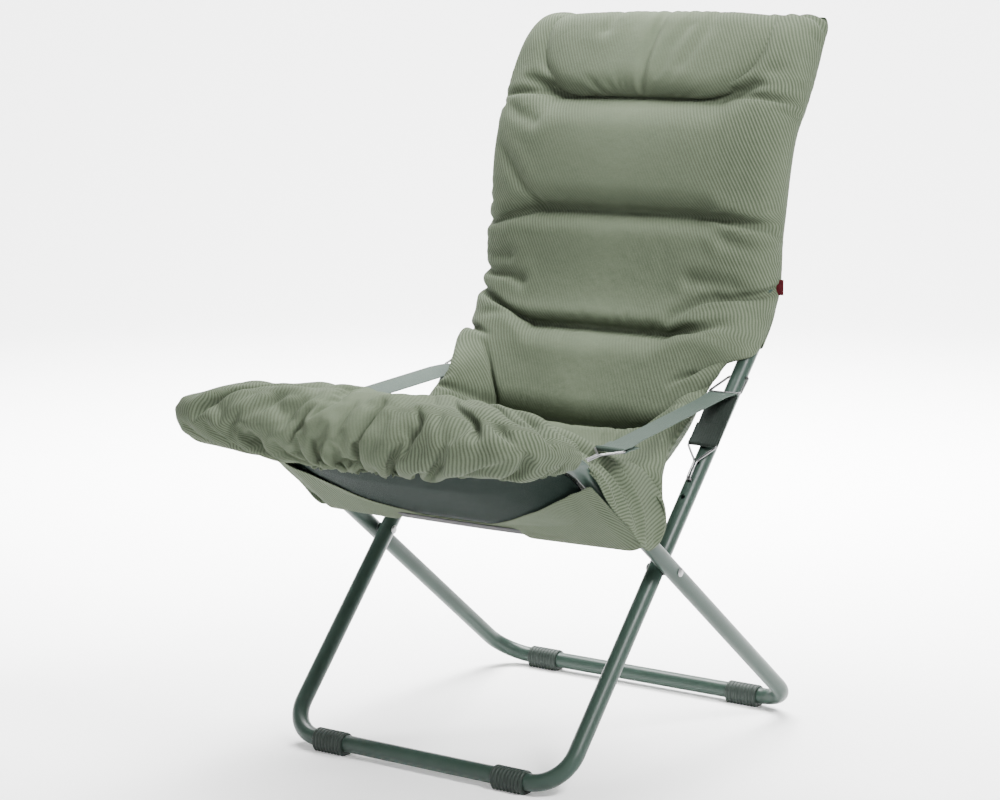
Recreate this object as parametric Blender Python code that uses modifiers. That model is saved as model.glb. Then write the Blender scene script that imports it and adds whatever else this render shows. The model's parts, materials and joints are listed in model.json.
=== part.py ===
"""Folding deck chair: two tube frames crossed like scissors, a padded hammock seat and adjuster straps.

Metres, +Z up. The chair faces -Y, the sitter's left is +X. The origin is the bottom centre of its box.
"""
import math

import bmesh
import bpy
from mathutils import Matrix, Vector

# ---------------------------------------------------------------- driving dimensions
GAP = 0.0003                     # clearance between touching pieces
TUBE_R = 0.0125                  # 25 mm steel tube
TUBE_WALL = 0.0012
BAR_Z = 0.017                    # centre height of the floor bars
PIVOT_Y = -0.01126               # puts the origin at the middle of the whole depth
PIVOT_Z = 0.284
BACK_HALF_WIDTH = 0.245          # inner frame: front legs and back
SEAT_HALF_WIDTH = 0.273          # outer frame: rear legs and seat
LEAN = math.radians(41.64)       # inner frame's side tubes, from vertical
RISE = math.radians(37.53)       # outer frame's side tubes, above horizontal
PIVOT_ON_BACK = 0.357            # pivot, measured up the inner frame from its floor corner
PIVOT_ON_SEAT = 0.438            # pivot, measured up the outer frame from its floor corner
CORNER_R = 0.055                 # bends at the floor bars and the end bars
SOFT_BEND_R = 0.120              # shallow bends half way up the side tubes

BACK_BEND_1 = 0.790              # along the inner frame, from the floor corner
BACK_MID_LEAN = math.radians(12.5)
BACK_MID_LENGTH = 0.293
HEAD_LEAN = math.radians(30.0)
HEAD_LENGTH = 0.176
BACK_JOINT = 0.110               # tube joint, past the first bend

SEAT_BEND = 0.752
SEAT_TIP_RISE = math.radians(11.0)
SEAT_TIP_LENGTH = 0.150
SEAT_JOINT = 0.600

SPIGOT_LENGTH = 0.060
JOINT_RIVET_R = 0.002
JOINT_RIVET_OFFSET = 0.015
RIVET_PROUD = 0.0008
PIVOT_RIVET_R = 0.003
PIVOT_HEAD_R = 0.0065
PIVOT_HEAD_H = 0.0028
WASHER_R = 0.008

FOOT_LENGTH = 0.054
FOOT_R = 0.0155
FOOT_SEAM_GAP = 0.002            # foot's outer end, from the start of the corner bend
FOOT_SIDE = 0.72                 # where the round top ends, as a share of the floor distance
FOOT_FLAT = 0.62                 # half of the flat, as a share of FOOT_R
HEAD_CROWN = ((0.0, 1.0), (0.62, 0.85), (1.0, 0.25))    # rivet head, radius and height shares

HOLES_ON_BACK = (0.4720, 0.5015, 0.5310, 0.5605)
USED_HOLE = HOLES_ON_BACK[1]
ADJUST_HOLE_R = 0.0042
GUIDE_HOLE = 0.692
GUIDE_REACH = Vector((-0.041, -0.018))
GUIDE_WIRE_R = 0.002
HOOK_WIRE_R = 0.00175
HOOK_HOLE_ON_SEAT = 0.730
BASE_HALF = 0.027                # half of each wire's base bar
HOOK_NECK = 0.030
HOOK_LENGTH = 0.060
HOOK_SINK = 0.004                # hook ends above the tube axis, inside the wall
HOOK_RADII = (0.0, 0.003, 0.008, 0.0035)    # bends of half a hook, from its end
GUIDE_FOOT = 0.0035              # room between the guide's legs and the tube
GUIDE_BEND_R = 0.0035
STRAP_WIDTH = 0.048
STRAP_T = 0.0016
STRAP_STANDOFF = 0.0170          # strap above the inner frame's tube axis

PAD_STANDOFF = 0.0132            # back of the padded panel, in front of the tube axis
PAD_T = 0.040
PAD_HALF_WIDTH = 0.264
HAMMOCK_HALF_WIDTH = 0.214
HAMMOCK_T = 0.042
HOOD_HALF_WIDTH = 0.302
SHEET_T = 0.0024
STRAP_TURN_R = 0.0035

BACK_POCKET_LOW = 0.750          # along the inner frame
HEAD_PAD_END = -0.013            # end of the padded panel, past the top bar's centre
PILLOW_LENGTH = 0.135
PILLOW_T = 0.016
PILLOW_HALF_WIDTH = 0.175
TAB_UP = 0.046                   # side tab, above the first bend
TAB_HEIGHT = 0.022
TAB_DEPTH = 0.009
TAB_T = 0.0012

LUMBAR_HIGH = 0.741
LUMBAR_OFF = 0.034               # hammock's middle, in front of the inner frame's tube axis
LUMBAR_LOW = 0.610
LUMBAR_LOW_OFF = 0.006
BELLY_REAR = (0.075, 0.085)      # from the pivot
BELLY_FRONT = (-0.035, 0.105)
SEAT_PAD_FRONT = 0.726           # along the outer frame
SEAT_PAD_OFF = 0.020
HAMMOCK_RADII = (0, 0.20, 0.09, 0.12, 0)
REAR_SPLIT = 0.95                # share of the lumbar run that stays with the back

HOOD_REAR = 0.734
HOOD_TOP = 0.052                 # top of the front padding, above the tube axis
HOOD_NOSE = 0.036
HOOD_DROP = 0.040                # hem below the front bar's centre
HOOD_REAR_DROP = 0.010           # the hood is thinner at its rear edge
HOOD_CLEAR = 0.002               # hood's inside, off the front bar
ELASTIC_R = 0.002
ELASTIC_SETBACK = 0.018
SLING_SETBACK = 0.030
SLING_REAR = 0.660
SLING_SAG = 0.030
SLING_BEND_R = 0.10
SLING_CLEAR = 0.004
SKIRT_OFF = -0.021               # under panel, below the outer frame's tube axis
SLEEVE_LOW = -0.019
PANEL_REAR = 0.545
PANEL_FRONT = 0.640
BAND_WIDTH = 0.010
SLEEVE_FRONT = 0.708

BEVEL_TUBE = 4                   # 12-sided tubes
BEVEL_WIRE = 2                   # 8-sided wires
BEND_STEPS = 6

PAINT = ((0.055, 0.095, 0.075), 0.42, 0.15)
ZINC = ((0.62, 0.63, 0.62), 0.32, 1.0)
RUBBER = ((0.045, 0.070, 0.058), 0.65, 0.0)
CLOTH = ((0.235, 0.285, 0.200), 0.90, 0.0)
SLING_CLOTH = ((0.040, 0.065, 0.055), 0.80, 0.0)
WEBBING = ((0.150, 0.195, 0.165), 0.75, 0.0)
WEBBING_DARK = ((0.060, 0.075, 0.065), 0.85, 0.0)
TAB_CLOTH = ((0.300, 0.030, 0.035), 0.80, 0.0)


# ---------------------------------------------------------------- scene and helpers
for leftover in list(bpy.data.objects):
    bpy.data.objects.remove(leftover, do_unlink=True)

chair = bpy.data.collections.new("folding_deck_chair")
cutters = bpy.data.collections.new("cutters")
bpy.context.scene.collection.children.link(chair)
bpy.context.scene.collection.children.link(cutters)


def material(name, look):
    colour, roughness, metallic = look
    made = bpy.data.materials.new(name)
    made.use_nodes = True
    shader = made.node_tree.nodes["Principled BSDF"]
    shader.inputs["Base Color"].default_value = (*colour, 1.0)
    shader.inputs["Roughness"].default_value = roughness
    shader.inputs["Metallic"].default_value = metallic
    made.diffuse_color = (*colour, 1.0)
    return made


def add_object(name, data, look, collection=chair):
    made = bpy.data.objects.new(name, data)
    if look is not None:
        data.materials.append(material(name, look))
    collection.objects.link(made)
    return made


def hide_as_cutter(piece):
    piece.hide_render = True
    piece.display_type = "WIRE"


def fillet(points, radii, steps=BEND_STEPS, cyclic=False):
    """The corners of a 3-D polyline rounded to arcs; radii is one value or one for each corner."""
    count = len(points)
    rounded = []
    for index, corner in enumerate(points):
        if not cyclic and index in (0, count - 1):
            rounded.append(corner.copy())
            continue
        radius = radii if isinstance(radii, float) else radii[index]
        to_last = (points[index - 1] - corner).normalized()
        to_next = (points[(index + 1) % count] - corner).normalized()
        half = to_last.angle(to_next) / 2
        reach = radius / math.tan(half)
        centre = corner + (to_last + to_next).normalized() * (radius / math.sin(half))
        first = corner + to_last * reach - centre
        last = corner + to_next * reach - centre
        sweep = first.angle(last)
        for step in range(steps + 1):
            part = step / steps
            arm = (first * math.sin((1 - part) * sweep) + last * math.sin(part * sweep)) / math.sin(sweep)
            rounded.append(centre + arm)
    return rounded


def wire(name, points, radius, look, resolution, cyclic=False, caps=True):
    curve = bpy.data.curves.new(name, "CURVE")
    curve.dimensions = "3D"
    curve.bevel_depth = radius
    curve.bevel_resolution = resolution
    curve.use_fill_caps = caps and not cyclic
    spline = curve.splines.new("POLY")
    spline.points.add(len(points) - 1)
    for target, point in zip(spline.points, points):
        target.co = (*point, 1.0)
    spline.use_cyclic_u = cyclic
    return add_object(name, curve, look)


def to_mesh(piece):
    """The curve object swapped for a mesh object of the same name, with its loose caps welded."""
    bpy.context.view_layer.update()
    evaluated = piece.evaluated_get(bpy.context.evaluated_depsgraph_get())
    mesh = bpy.data.meshes.new_from_object(evaluated)
    place = piece.matrix_world.copy()
    name = piece.name
    bpy.data.objects.remove(piece, do_unlink=True)
    shape = bmesh.new()
    shape.from_mesh(mesh)
    bmesh.ops.remove_doubles(shape, verts=shape.verts, dist=0.00001)
    bmesh.ops.recalc_face_normals(shape, faces=shape.faces)
    shape.to_mesh(mesh)
    shape.free()
    made = bpy.data.objects.new(name, mesh)
    made.matrix_world = place
    chair.objects.link(made)
    return made


def hollow_tube(name, points, look):
    piece = to_mesh(wire(name, points, TUBE_R, look, BEVEL_TUBE, caps=False))
    wall = piece.modifiers.new("wall", "SOLIDIFY")
    wall.thickness = TUBE_WALL
    wall.offset = -1.0
    wall.use_even_offset = True
    return piece


def cut(piece, *tools):
    for tool in tools:
        hole = piece.modifiers.new("hole", "BOOLEAN")
        hole.operation = "DIFFERENCE"
        hole.solver = "EXACT"
        hole.object = tool


def cylinder(name, centre, axis, radius, length, look=None, sides=16, collection=chair):
    shape = bmesh.new()
    bmesh.ops.create_cone(shape, cap_ends=True, segments=sides, radius1=radius, radius2=radius, depth=length)
    mesh = bpy.data.meshes.new(name)
    turn = Vector((0, 0, 1)).rotation_difference(Vector(axis)).to_matrix().to_4x4()
    shape.transform(Matrix.Translation(centre) @ turn)
    shape.to_mesh(mesh)
    shape.free()
    return add_object(name, mesh, look, collection)


def cutter(name, centre, axis, radius, length):
    piece = cylinder(name, centre, axis, radius, length, collection=cutters)
    hide_as_cutter(piece)
    return piece


def extruded(name, loops, x_low, x_high, look):
    """A flat outline in (y, z), with any further loops as holes, extruded along X."""
    curve = bpy.data.curves.new(name, "CURVE")
    curve.dimensions = "2D"
    curve.fill_mode = "BOTH"
    curve.extrude = (x_high - x_low) / 2
    for loop in loops:
        spline = curve.splines.new("POLY")
        spline.points.add(len(loop) - 1)
        for target, point in zip(spline.points, loop):
            target.co = (point[0], point[1], 0.0, 1.0)
        spline.use_cyclic_u = True
    piece = add_object(name, curve, look)
    piece.rotation_euler = (math.pi / 2, 0, math.pi / 2)
    piece.location = ((x_low + x_high) / 2, 0, 0)
    return piece


def offset_line(line, distance):
    """A polyline in (y, z) moved sideways, to the left of its direction when distance is positive."""
    moved = []
    for index, point in enumerate(line):
        before = line[max(index - 1, 0)]
        after = line[min(index + 1, len(line) - 1)]
        ahead = (after - point).normalized() if index < len(line) - 1 else (point - before).normalized()
        behind = (point - before).normalized() if index else ahead
        normal_a = Vector((-ahead.y, ahead.x))
        normal_b = Vector((-behind.y, behind.x))
        mean = (normal_a + normal_b).normalized()
        moved.append(point + mean * (distance / mean.dot(normal_a)))
    return moved


def band(name, line, low, high, half_width, look, x_mid=0.0):
    """A slab that follows a line in (y, z), between two offsets from it."""
    outline = offset_line(line, low) + list(reversed(offset_line(line, high)))
    return extruded(name, [outline], x_mid - half_width, x_mid + half_width, look)


def flat(points, radii, steps=BEND_STEPS):
    """A rounded line in (y, z)."""
    solid = fillet([Vector((0.0, point.x, point.y)) for point in points], radii, steps)
    return [Vector((point.y, point.z)) for point in solid]


# ---------------------------------------------------------------- frame geometry in the (y, z) plane
pivot = Vector((PIVOT_Y, PIVOT_Z))
back_dir = Vector((math.sin(LEAN), math.cos(LEAN)))
back_front = Vector((-back_dir.y, back_dir.x))
seat_dir = Vector((-math.cos(RISE), math.sin(RISE)))
seat_top = Vector((seat_dir.y, -seat_dir.x))
back_floor = pivot - back_dir * PIVOT_ON_BACK
seat_floor = pivot - seat_dir * PIVOT_ON_SEAT


def on_back(distance, off=0.0):
    return back_floor + back_dir * distance + back_front * off


def on_seat(distance, off=0.0):
    return seat_floor + seat_dir * distance + seat_top * off


def at(x, point):
    return Vector((x, point.x, point.y))


mid_dir = Vector((math.sin(BACK_MID_LEAN), math.cos(BACK_MID_LEAN)))
head_dir = Vector((math.sin(HEAD_LEAN), math.cos(HEAD_LEAN)))
head_front = Vector((-head_dir.y, head_dir.x))
tip_dir = Vector((-math.cos(SEAT_TIP_RISE), math.sin(SEAT_TIP_RISE)))
tip_top = Vector((tip_dir.y, -tip_dir.x))

back_bend_1 = on_back(BACK_BEND_1)
back_joint = back_bend_1 + mid_dir * BACK_JOINT
back_bend_2 = back_bend_1 + mid_dir * BACK_MID_LENGTH
back_end = back_bend_2 + head_dir * HEAD_LENGTH
seat_bend = on_seat(SEAT_BEND)
seat_joint = on_seat(SEAT_JOINT)
seat_end = seat_bend + tip_dir * SEAT_TIP_LENGTH


# ---------------------------------------------------------------- holes
def x_hole(name, x, point, radius):
    return cutter(name, at(x, point), (1, 0, 0), radius, 0.060)


def front_hole(name, x, point, normal, radius):
    reach = 0.020
    centre = point + normal * (reach / 2)
    return cutter(name, at(x, centre), (0, normal.x, normal.y), radius, reach)


lower_back_cuts = []
lower_seat_cuts = []
upper_seat_cuts = []
joint_spots = []
for side, word in ((1, "left"), (-1, "right")):
    back_x = side * BACK_HALF_WIDTH
    seat_x = side * SEAT_HALF_WIDTH
    pivot_bore = PIVOT_RIVET_R + GAP
    lower_back_cuts.append(x_hole("cut_pivot_back_" + word, back_x, pivot, pivot_bore))
    lower_seat_cuts.append(x_hole("cut_pivot_seat_" + word, seat_x, pivot, pivot_bore))
    lower_back_cuts.append(x_hole("cut_guide_" + word, back_x, on_back(GUIDE_HOLE), GUIDE_WIRE_R + GAP))
    for number, distance in enumerate(HOLES_ON_BACK):
        label = "cut_adjust_%s_%d" % (word, number)
        lower_back_cuts.append(front_hole(label, back_x, on_back(distance), back_front, ADJUST_HOLE_R))
    upper_seat_cuts.append(
        front_hole("cut_hook_" + word, seat_x, on_seat(HOOK_HOLE_ON_SEAT), seat_top, ADJUST_HOLE_R))
    joint_bore = JOINT_RIVET_R + GAP
    for joint, x, middle, ahead, cuts in (("back", back_x, back_joint, mid_dir, lower_back_cuts),
                                          ("seat", seat_x, seat_joint, seat_dir, lower_seat_cuts)):
        spot = middle - ahead * JOINT_RIVET_OFFSET
        cuts.append(x_hole("cut_joint_%s_%s" % (joint, word), x, spot, joint_bore))
        joint_spots.append((joint + "_%s_" + word, x, middle, ahead, spot, cuts[-1]))


# ---------------------------------------------------------------- the two frames
def frame_half(name, half_width, side_points, end):
    """One U of tube: two side runs, each through side_points, joined by a bar at end."""
    left = [at(half_width, point) for point in side_points]
    right = [at(-half_width, point) for point in reversed(side_points)]
    corners = left + [at(half_width, end), at(-half_width, end)] + right
    radii = [SOFT_BEND_R] * len(left) + [CORNER_R] * 2 + [SOFT_BEND_R] * len(right)
    return hollow_tube(name, fillet(corners, radii), PAINT)


front_leg_tube = frame_half("front_leg_tube", BACK_HALF_WIDTH,
                            [back_joint - mid_dir * GAP / 2, back_bend_1], back_floor)
cut(front_leg_tube, *lower_back_cuts)
frame_half("back_top_tube", BACK_HALF_WIDTH, [back_joint + mid_dir * GAP / 2, back_bend_2], back_end)
rear_leg_tube = frame_half("rear_leg_tube", SEAT_HALF_WIDTH, [seat_joint - seat_dir * GAP / 2], seat_floor)
cut(rear_leg_tube, *lower_seat_cuts)
seat_front_tube = frame_half("seat_front_tube", SEAT_HALF_WIDTH,
                             [seat_joint + seat_dir * GAP / 2, seat_bend], seat_end)
cut(seat_front_tube, *upper_seat_cuts)

for naming, x, middle, ahead, spot, tool in joint_spots:
    spigot = cylinder(naming % "spigot", at(x, middle), (0, ahead.x, ahead.y),
                      TUBE_R - TUBE_WALL - 2 * GAP, SPIGOT_LENGTH, PAINT, sides=12)
    cut(spigot, tool)
    cylinder(naming % "joint_rivet", at(x, spot), (1, 0, 0), JOINT_RIVET_R, 2 * (TUBE_R + RIVET_PROUD),
             PAINT, sides=8)


# ---------------------------------------------------------------- pivots
def turned(name, profile, axis_point, outward, look, steps=20):
    """A profile of (radius, height) pairs, top first, turned about a line along X."""
    mesh = bpy.data.meshes.new(name)
    shape = bmesh.new()
    ring = [shape.verts.new((radius, 0, height)) for radius, height in profile]
    for first, second in zip(ring, ring[1:]):
        shape.edges.new((first, second))
    shape.to_mesh(mesh)
    shape.free()
    piece = add_object(name, mesh, look)
    turn = piece.modifiers.new("turn", "SCREW")
    turn.steps = steps
    turn.render_steps = steps
    turn.use_merge_vertices = True
    turn.merge_threshold = 0.00001
    piece.rotation_euler = (0, math.pi / 2 * outward, 0)
    piece.location = axis_point
    return piece


for side, word in ((1, "left"), (-1, "right")):
    inner = (BACK_HALF_WIDTH - TUBE_R - GAP) * side
    outer = (SEAT_HALF_WIDTH + TUBE_R + GAP) * side
    shank = abs(outer - inner)
    crown = [(PIVOT_HEAD_R * radius, PIVOT_HEAD_H * height) for radius, height in HEAD_CROWN]
    upper = [(radius, shank + height) for radius, height in crown]
    lower = [(radius, -height) for radius, height in reversed(crown)]
    neck = [(PIVOT_HEAD_R, shank), (PIVOT_RIVET_R, shank), (PIVOT_RIVET_R, 0.0), (PIVOT_HEAD_R, 0.0)]
    turned("pivot_rivet_" + word, upper + neck + lower, (inner, *pivot), side, ZINC)
    low = BACK_HALF_WIDTH + TUBE_R + GAP
    high = SEAT_HALF_WIDTH - TUBE_R - GAP
    bore = PIVOT_RIVET_R + GAP
    turned("pivot_washer_" + word, (
        (bore, high - low), (WASHER_R, high - low), (WASHER_R, 0.0), (bore, 0.0), (bore, high - low)),
        (low * side, *pivot), side, RUBBER)


# ---------------------------------------------------------------- feet
def foot(name, x_mid, centre):
    """A sleeve on the floor bar, round above and squared off flat on the ground."""
    steps = 16
    low = math.asin(BAR_Z / FOOT_R * FOOT_SIDE)
    outer = []
    for step in range(steps + 1):
        angle = -low + (math.pi + 2 * low) * step / steps
        outer.append(Vector((centre.x + FOOT_R * math.cos(angle), centre.y + FOOT_R * math.sin(angle))))
    outer.append(Vector((centre.x - FOOT_R * FOOT_FLAT, 0.0)))
    outer.append(Vector((centre.x + FOOT_R * FOOT_FLAT, 0.0)))
    inner = []
    for step in range(steps):
        angle = math.tau * step / steps
        inner.append(centre + Vector((math.cos(angle), math.sin(angle))) * (TUBE_R + GAP))
    return extruded(name, [outer, inner], x_mid - FOOT_LENGTH / 2, x_mid + FOOT_LENGTH / 2, RUBBER)


for side, word in ((1, "left"), (-1, "right")):
    for end, half_width, centre in (("front", BACK_HALF_WIDTH, back_floor), ("rear", SEAT_HALF_WIDTH, seat_floor)):
        middle = half_width - CORNER_R - FOOT_SEAM_GAP - FOOT_LENGTH / 2
        foot("%s_foot_%s" % (end, word), side * middle, centre)


# ---------------------------------------------------------------- adjuster wires
guide_hole = on_back(GUIDE_HOLE)
guide_base = guide_hole + GUIDE_REACH


def guide_loop(name, x):
    bend_x = TUBE_R + GUIDE_FOOT
    corners = [at(x + bend_x, guide_hole), at(x + BASE_HALF, guide_base),
               at(x - BASE_HALF, guide_base), at(x - bend_x, guide_hole)]
    return wire(name, fillet(corners, GUIDE_BEND_R, 3, cyclic=True), GUIDE_WIRE_R, ZINC, BEVEL_WIRE, cyclic=True)


def hook(name, x, start, normal, ahead):
    """A wire triangle: two ends in a hole, a twin neck and a base bar for the webbing."""
    neck_x = HOOK_WIRE_R + GAP
    half = []
    for along, off, spread in ((0.0, HOOK_SINK, neck_x), (0.0, STRAP_STANDOFF, neck_x),
                               (HOOK_NECK, STRAP_STANDOFF, neck_x), (HOOK_LENGTH, STRAP_STANDOFF, BASE_HALF)):
        half.append((spread, start + ahead * along + normal * off))
    path = [at(x + spread, point) for spread, point in half]
    path += [at(x - spread, point) for spread, point in reversed(half)]
    radii = HOOK_RADII + tuple(reversed(HOOK_RADII))
    return wire(name, fillet(path, radii, 3), HOOK_WIRE_R, ZINC, BEVEL_WIRE)


seat_hook_start = on_seat(HOOK_HOLE_ON_SEAT)
strap_top_point = guide_base + Vector((0.0, GUIDE_WIRE_R + GAP + STRAP_T / 2))
strap_dir = (strap_top_point - (seat_hook_start + seat_top * STRAP_STANDOFF)).normalized()
for side, word in ((1, "left"), (-1, "right")):
    guide_loop("strap_guide_" + word, side * BACK_HALF_WIDTH)
    hook("adjuster_hook_" + word, side * BACK_HALF_WIDTH, on_back(USED_HOLE), back_front, back_dir)
    hook("seat_hook_" + word, side * SEAT_HALF_WIDTH, seat_hook_start, seat_top, strap_dir)

# ---------------------------------------------------------------- straps
wire_room = HOOK_WIRE_R + GAP
front_end = seat_hook_start + seat_top * STRAP_STANDOFF + strap_dir * (HOOK_LENGTH + wire_room)
low_end = on_back(USED_HOLE + HOOK_LENGTH + wire_room, STRAP_STANDOFF)
turn_point = guide_base + (-GUIDE_REACH).normalized() * (GUIDE_WIRE_R + GAP + STRAP_T / 2)


def strap(name, side):
    """One webbing strap, from the seat hook over the guide's base bar and down to the adjuster hook."""
    line = flat([front_end, turn_point, low_end], STRAP_TURN_R, 5)
    piece = to_mesh(band(name, line, -STRAP_T / 2, STRAP_T / 2, STRAP_WIDTH / 2, WEBBING))
    piece.data.transform(piece.matrix_world)
    piece.matrix_world = Matrix.Identity(4)
    for vertex in piece.data.vertices:
        on_seat_side = vertex.co.y < front_end.x + 0.01
        vertex.co.x += side * (SEAT_HALF_WIDTH if on_seat_side else BACK_HALF_WIDTH)
    return piece


for side, word in ((1, "left"), (-1, "right")):
    strap("adjuster_strap_" + word, side)


# ---------------------------------------------------------------- back cushion
pocket_low = on_back(BACK_POCKET_LOW)
tall_end = back_end + head_dir * HEAD_PAD_END
back_line = flat([pocket_low, back_bend_1, back_bend_2, tall_end], SOFT_BEND_R, 4)
band("back_pad", back_line, PAD_STANDOFF, PAD_STANDOFF + PAD_T, PAD_HALF_WIDTH, CLOTH)

pillow_low = back_end - head_dir * PILLOW_LENGTH
band("headrest_pillow", [pillow_low, tall_end], PAD_STANDOFF + PAD_T + GAP,
     PAD_STANDOFF + PAD_T + PILLOW_T, PILLOW_HALF_WIDTH, CLOTH)

rear_off = TUBE_R + GAP + SHEET_T / 2
rear_line = flat([pocket_low, back_bend_1, back_bend_2, back_end], SOFT_BEND_R, 4)
rear_line = offset_line(rear_line, -rear_off)
for step in range(1, 9):
    turn = math.radians(20 * step)
    rear_line.append(back_end + (-head_front * math.cos(turn) + head_dir * math.sin(turn)) * rear_off)
band("back_pocket_rear", rear_line, -SHEET_T / 2, SHEET_T / 2, PAD_HALF_WIDTH, CLOTH)

tab_low = back_bend_1 + mid_dir * TAB_UP
band("side_tab", [tab_low, tab_low + mid_dir * TAB_HEIGHT], -TAB_DEPTH, 0.0, TAB_T / 2, TAB_CLOTH,
     x_mid=PAD_HALF_WIDTH + GAP + TAB_T / 2)

# ---------------------------------------------------------------- hammock, between the two frames
hammock_line = flat([on_back(LUMBAR_HIGH, LUMBAR_OFF), on_back(LUMBAR_LOW, LUMBAR_LOW_OFF),
                     pivot + Vector(BELLY_REAR), pivot + Vector(BELLY_FRONT),
                     on_seat(SEAT_PAD_FRONT, SEAT_PAD_OFF)], HAMMOCK_RADII, 4)
rear_split = hammock_line[0].lerp(hammock_line[1], REAR_SPLIT)    # both splits are on straight runs
front_split = (hammock_line[10] + hammock_line[11]) / 2
lumbar_line = [hammock_line[0], rear_split]
belly_line = [rear_split] + hammock_line[1:11] + [front_split]
thigh_line = [front_split] + hammock_line[11:]


def shortened(line, first, last):
    """The line with a little taken off its ends, so that neighbouring slabs keep a gap."""
    trimmed = [point.copy() for point in line]
    trimmed[0] += (line[1] - line[0]).normalized() * first
    trimmed[-1] += (line[-2] - line[-1]).normalized() * last
    return trimmed


half = HAMMOCK_T / 2
band("lumbar_pad", shortened(lumbar_line, 0, GAP), -half, half, HAMMOCK_HALF_WIDTH, CLOTH)
band("hammock_belly", shortened(belly_line, GAP, GAP), -half, half, HAMMOCK_HALF_WIDTH, CLOTH)
band("thigh_pad", shortened(thigh_line, GAP, 0), -half, half, HAMMOCK_HALF_WIDTH, CLOTH)

# ---------------------------------------------------------------- seat front
crest = seat_end + tip_top * HOOD_TOP
hood_outer = [
    on_seat(HOOD_REAR, HOOD_TOP - HOOD_REAR_DROP), seat_bend + seat_top * HOOD_TOP, crest - tip_dir * 0.030,
    crest + tip_dir * 0.016 - tip_top * 0.012, seat_end + tip_dir * HOOD_NOSE,
    seat_end + tip_dir * HOOD_NOSE * 0.75 - tip_top * 0.024, seat_end + Vector((0.004, -HOOD_DROP))]
clear = TUBE_R + HOOD_CLEAR
hood_inner = [
    seat_end + Vector((0.012, -HOOD_DROP + 0.006)), seat_end + tip_dir * clear - tip_top * 0.010,
    seat_end + tip_dir * clear * 0.75 + tip_top * clear * 0.75, seat_end + tip_top * clear,
    seat_bend + tip_top * clear - tip_dir * 0.004, on_seat(HOOD_REAR, clear)]
extruded("seat_hood", [hood_outer + hood_inner], -HOOD_HALF_WIDTH, HOOD_HALF_WIDTH, CLOTH)

elastic_at = seat_end + Vector((ELASTIC_SETBACK, -HOOD_DROP))
half_elastic = SEAT_HALF_WIDTH - CORNER_R
wire("hood_elastic", [at(-half_elastic, elastic_at), at(half_elastic, elastic_at)], ELASTIC_R,
     CLOTH, BEVEL_WIRE)

sling_high = seat_end - tip_dir * SLING_SETBACK - tip_top * (TUBE_R + SLING_CLEAR)
sling_low = on_seat(SLING_REAR, -TUBE_R - SLING_CLEAR)
sling_mid = (sling_high + sling_low) / 2 + Vector((0.0, -SLING_SAG))
sling_half = SEAT_HALF_WIDTH - TUBE_R - SLING_CLEAR
band("seat_sling", flat([sling_high, sling_mid, sling_low], SLING_BEND_R, 4), -SHEET_T / 2, SHEET_T / 2,
     sling_half, SLING_CLOTH)

panel_rear = on_seat(PANEL_REAR, SKIRT_OFF)
panel_front = on_seat(PANEL_FRONT, SKIRT_OFF)
band("seat_under_panel", [panel_rear + seat_dir * (BAND_WIDTH + GAP), panel_front], -SHEET_T / 2,
     SHEET_T / 2, SEAT_HALF_WIDTH + TUBE_R, CLOTH)
band("under_panel_band", [panel_rear, panel_rear + seat_dir * BAND_WIDTH], -SHEET_T / 2, SHEET_T / 2,
     SEAT_HALF_WIDTH + TUBE_R, WEBBING_DARK)


def side_sleeve(name, side):
    """The cover's side, an L that lies over the seat tube and hangs down on its outer side."""
    length = SLEEVE_FRONT - PANEL_REAR
    inset = TUBE_R + RIVET_PROUD + GAP
    outer_x = SEAT_HALF_WIDTH + inset + SHEET_T
    outline = [(SEAT_HALF_WIDTH - inset, inset), (SEAT_HALF_WIDTH + inset, inset),
               (SEAT_HALF_WIDTH + inset, SLEEVE_LOW), (outer_x, SLEEVE_LOW),
               (outer_x, inset + SHEET_T), (SEAT_HALF_WIDTH - inset, inset + SHEET_T)]
    curve = bpy.data.curves.new(name, "CURVE")
    curve.dimensions = "2D"
    curve.fill_mode = "BOTH"
    curve.extrude = length / 2
    spline = curve.splines.new("POLY")
    spline.points.add(len(outline) - 1)
    for target, point in zip(spline.points, outline):
        target.co = (point[0] * side, point[1], 0.0, 1.0)
    spline.use_cyclic_u = True
    piece = add_object(name, curve, CLOTH)
    centre = on_seat((SLEEVE_FRONT + PANEL_REAR) / 2)
    piece.rotation_euler = (math.pi / 2 - RISE, 0, 0)
    piece.location = at(0.0, centre)


for side, word in ((1, "left"), (-1, "right")):
    side_sleeve("seat_side_sleeve_" + word, side)
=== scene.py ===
"""Looks of the folding deck chair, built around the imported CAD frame.

Metres, +Z up. The chair faces -Y, the sitter's left is +X. Side profiles are (y, z) points whose y is
measured from the scissor pivot.
"""
import json
import math

import bmesh
import bpy
import numpy as np
from mathutils import Matrix, Vector

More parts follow.
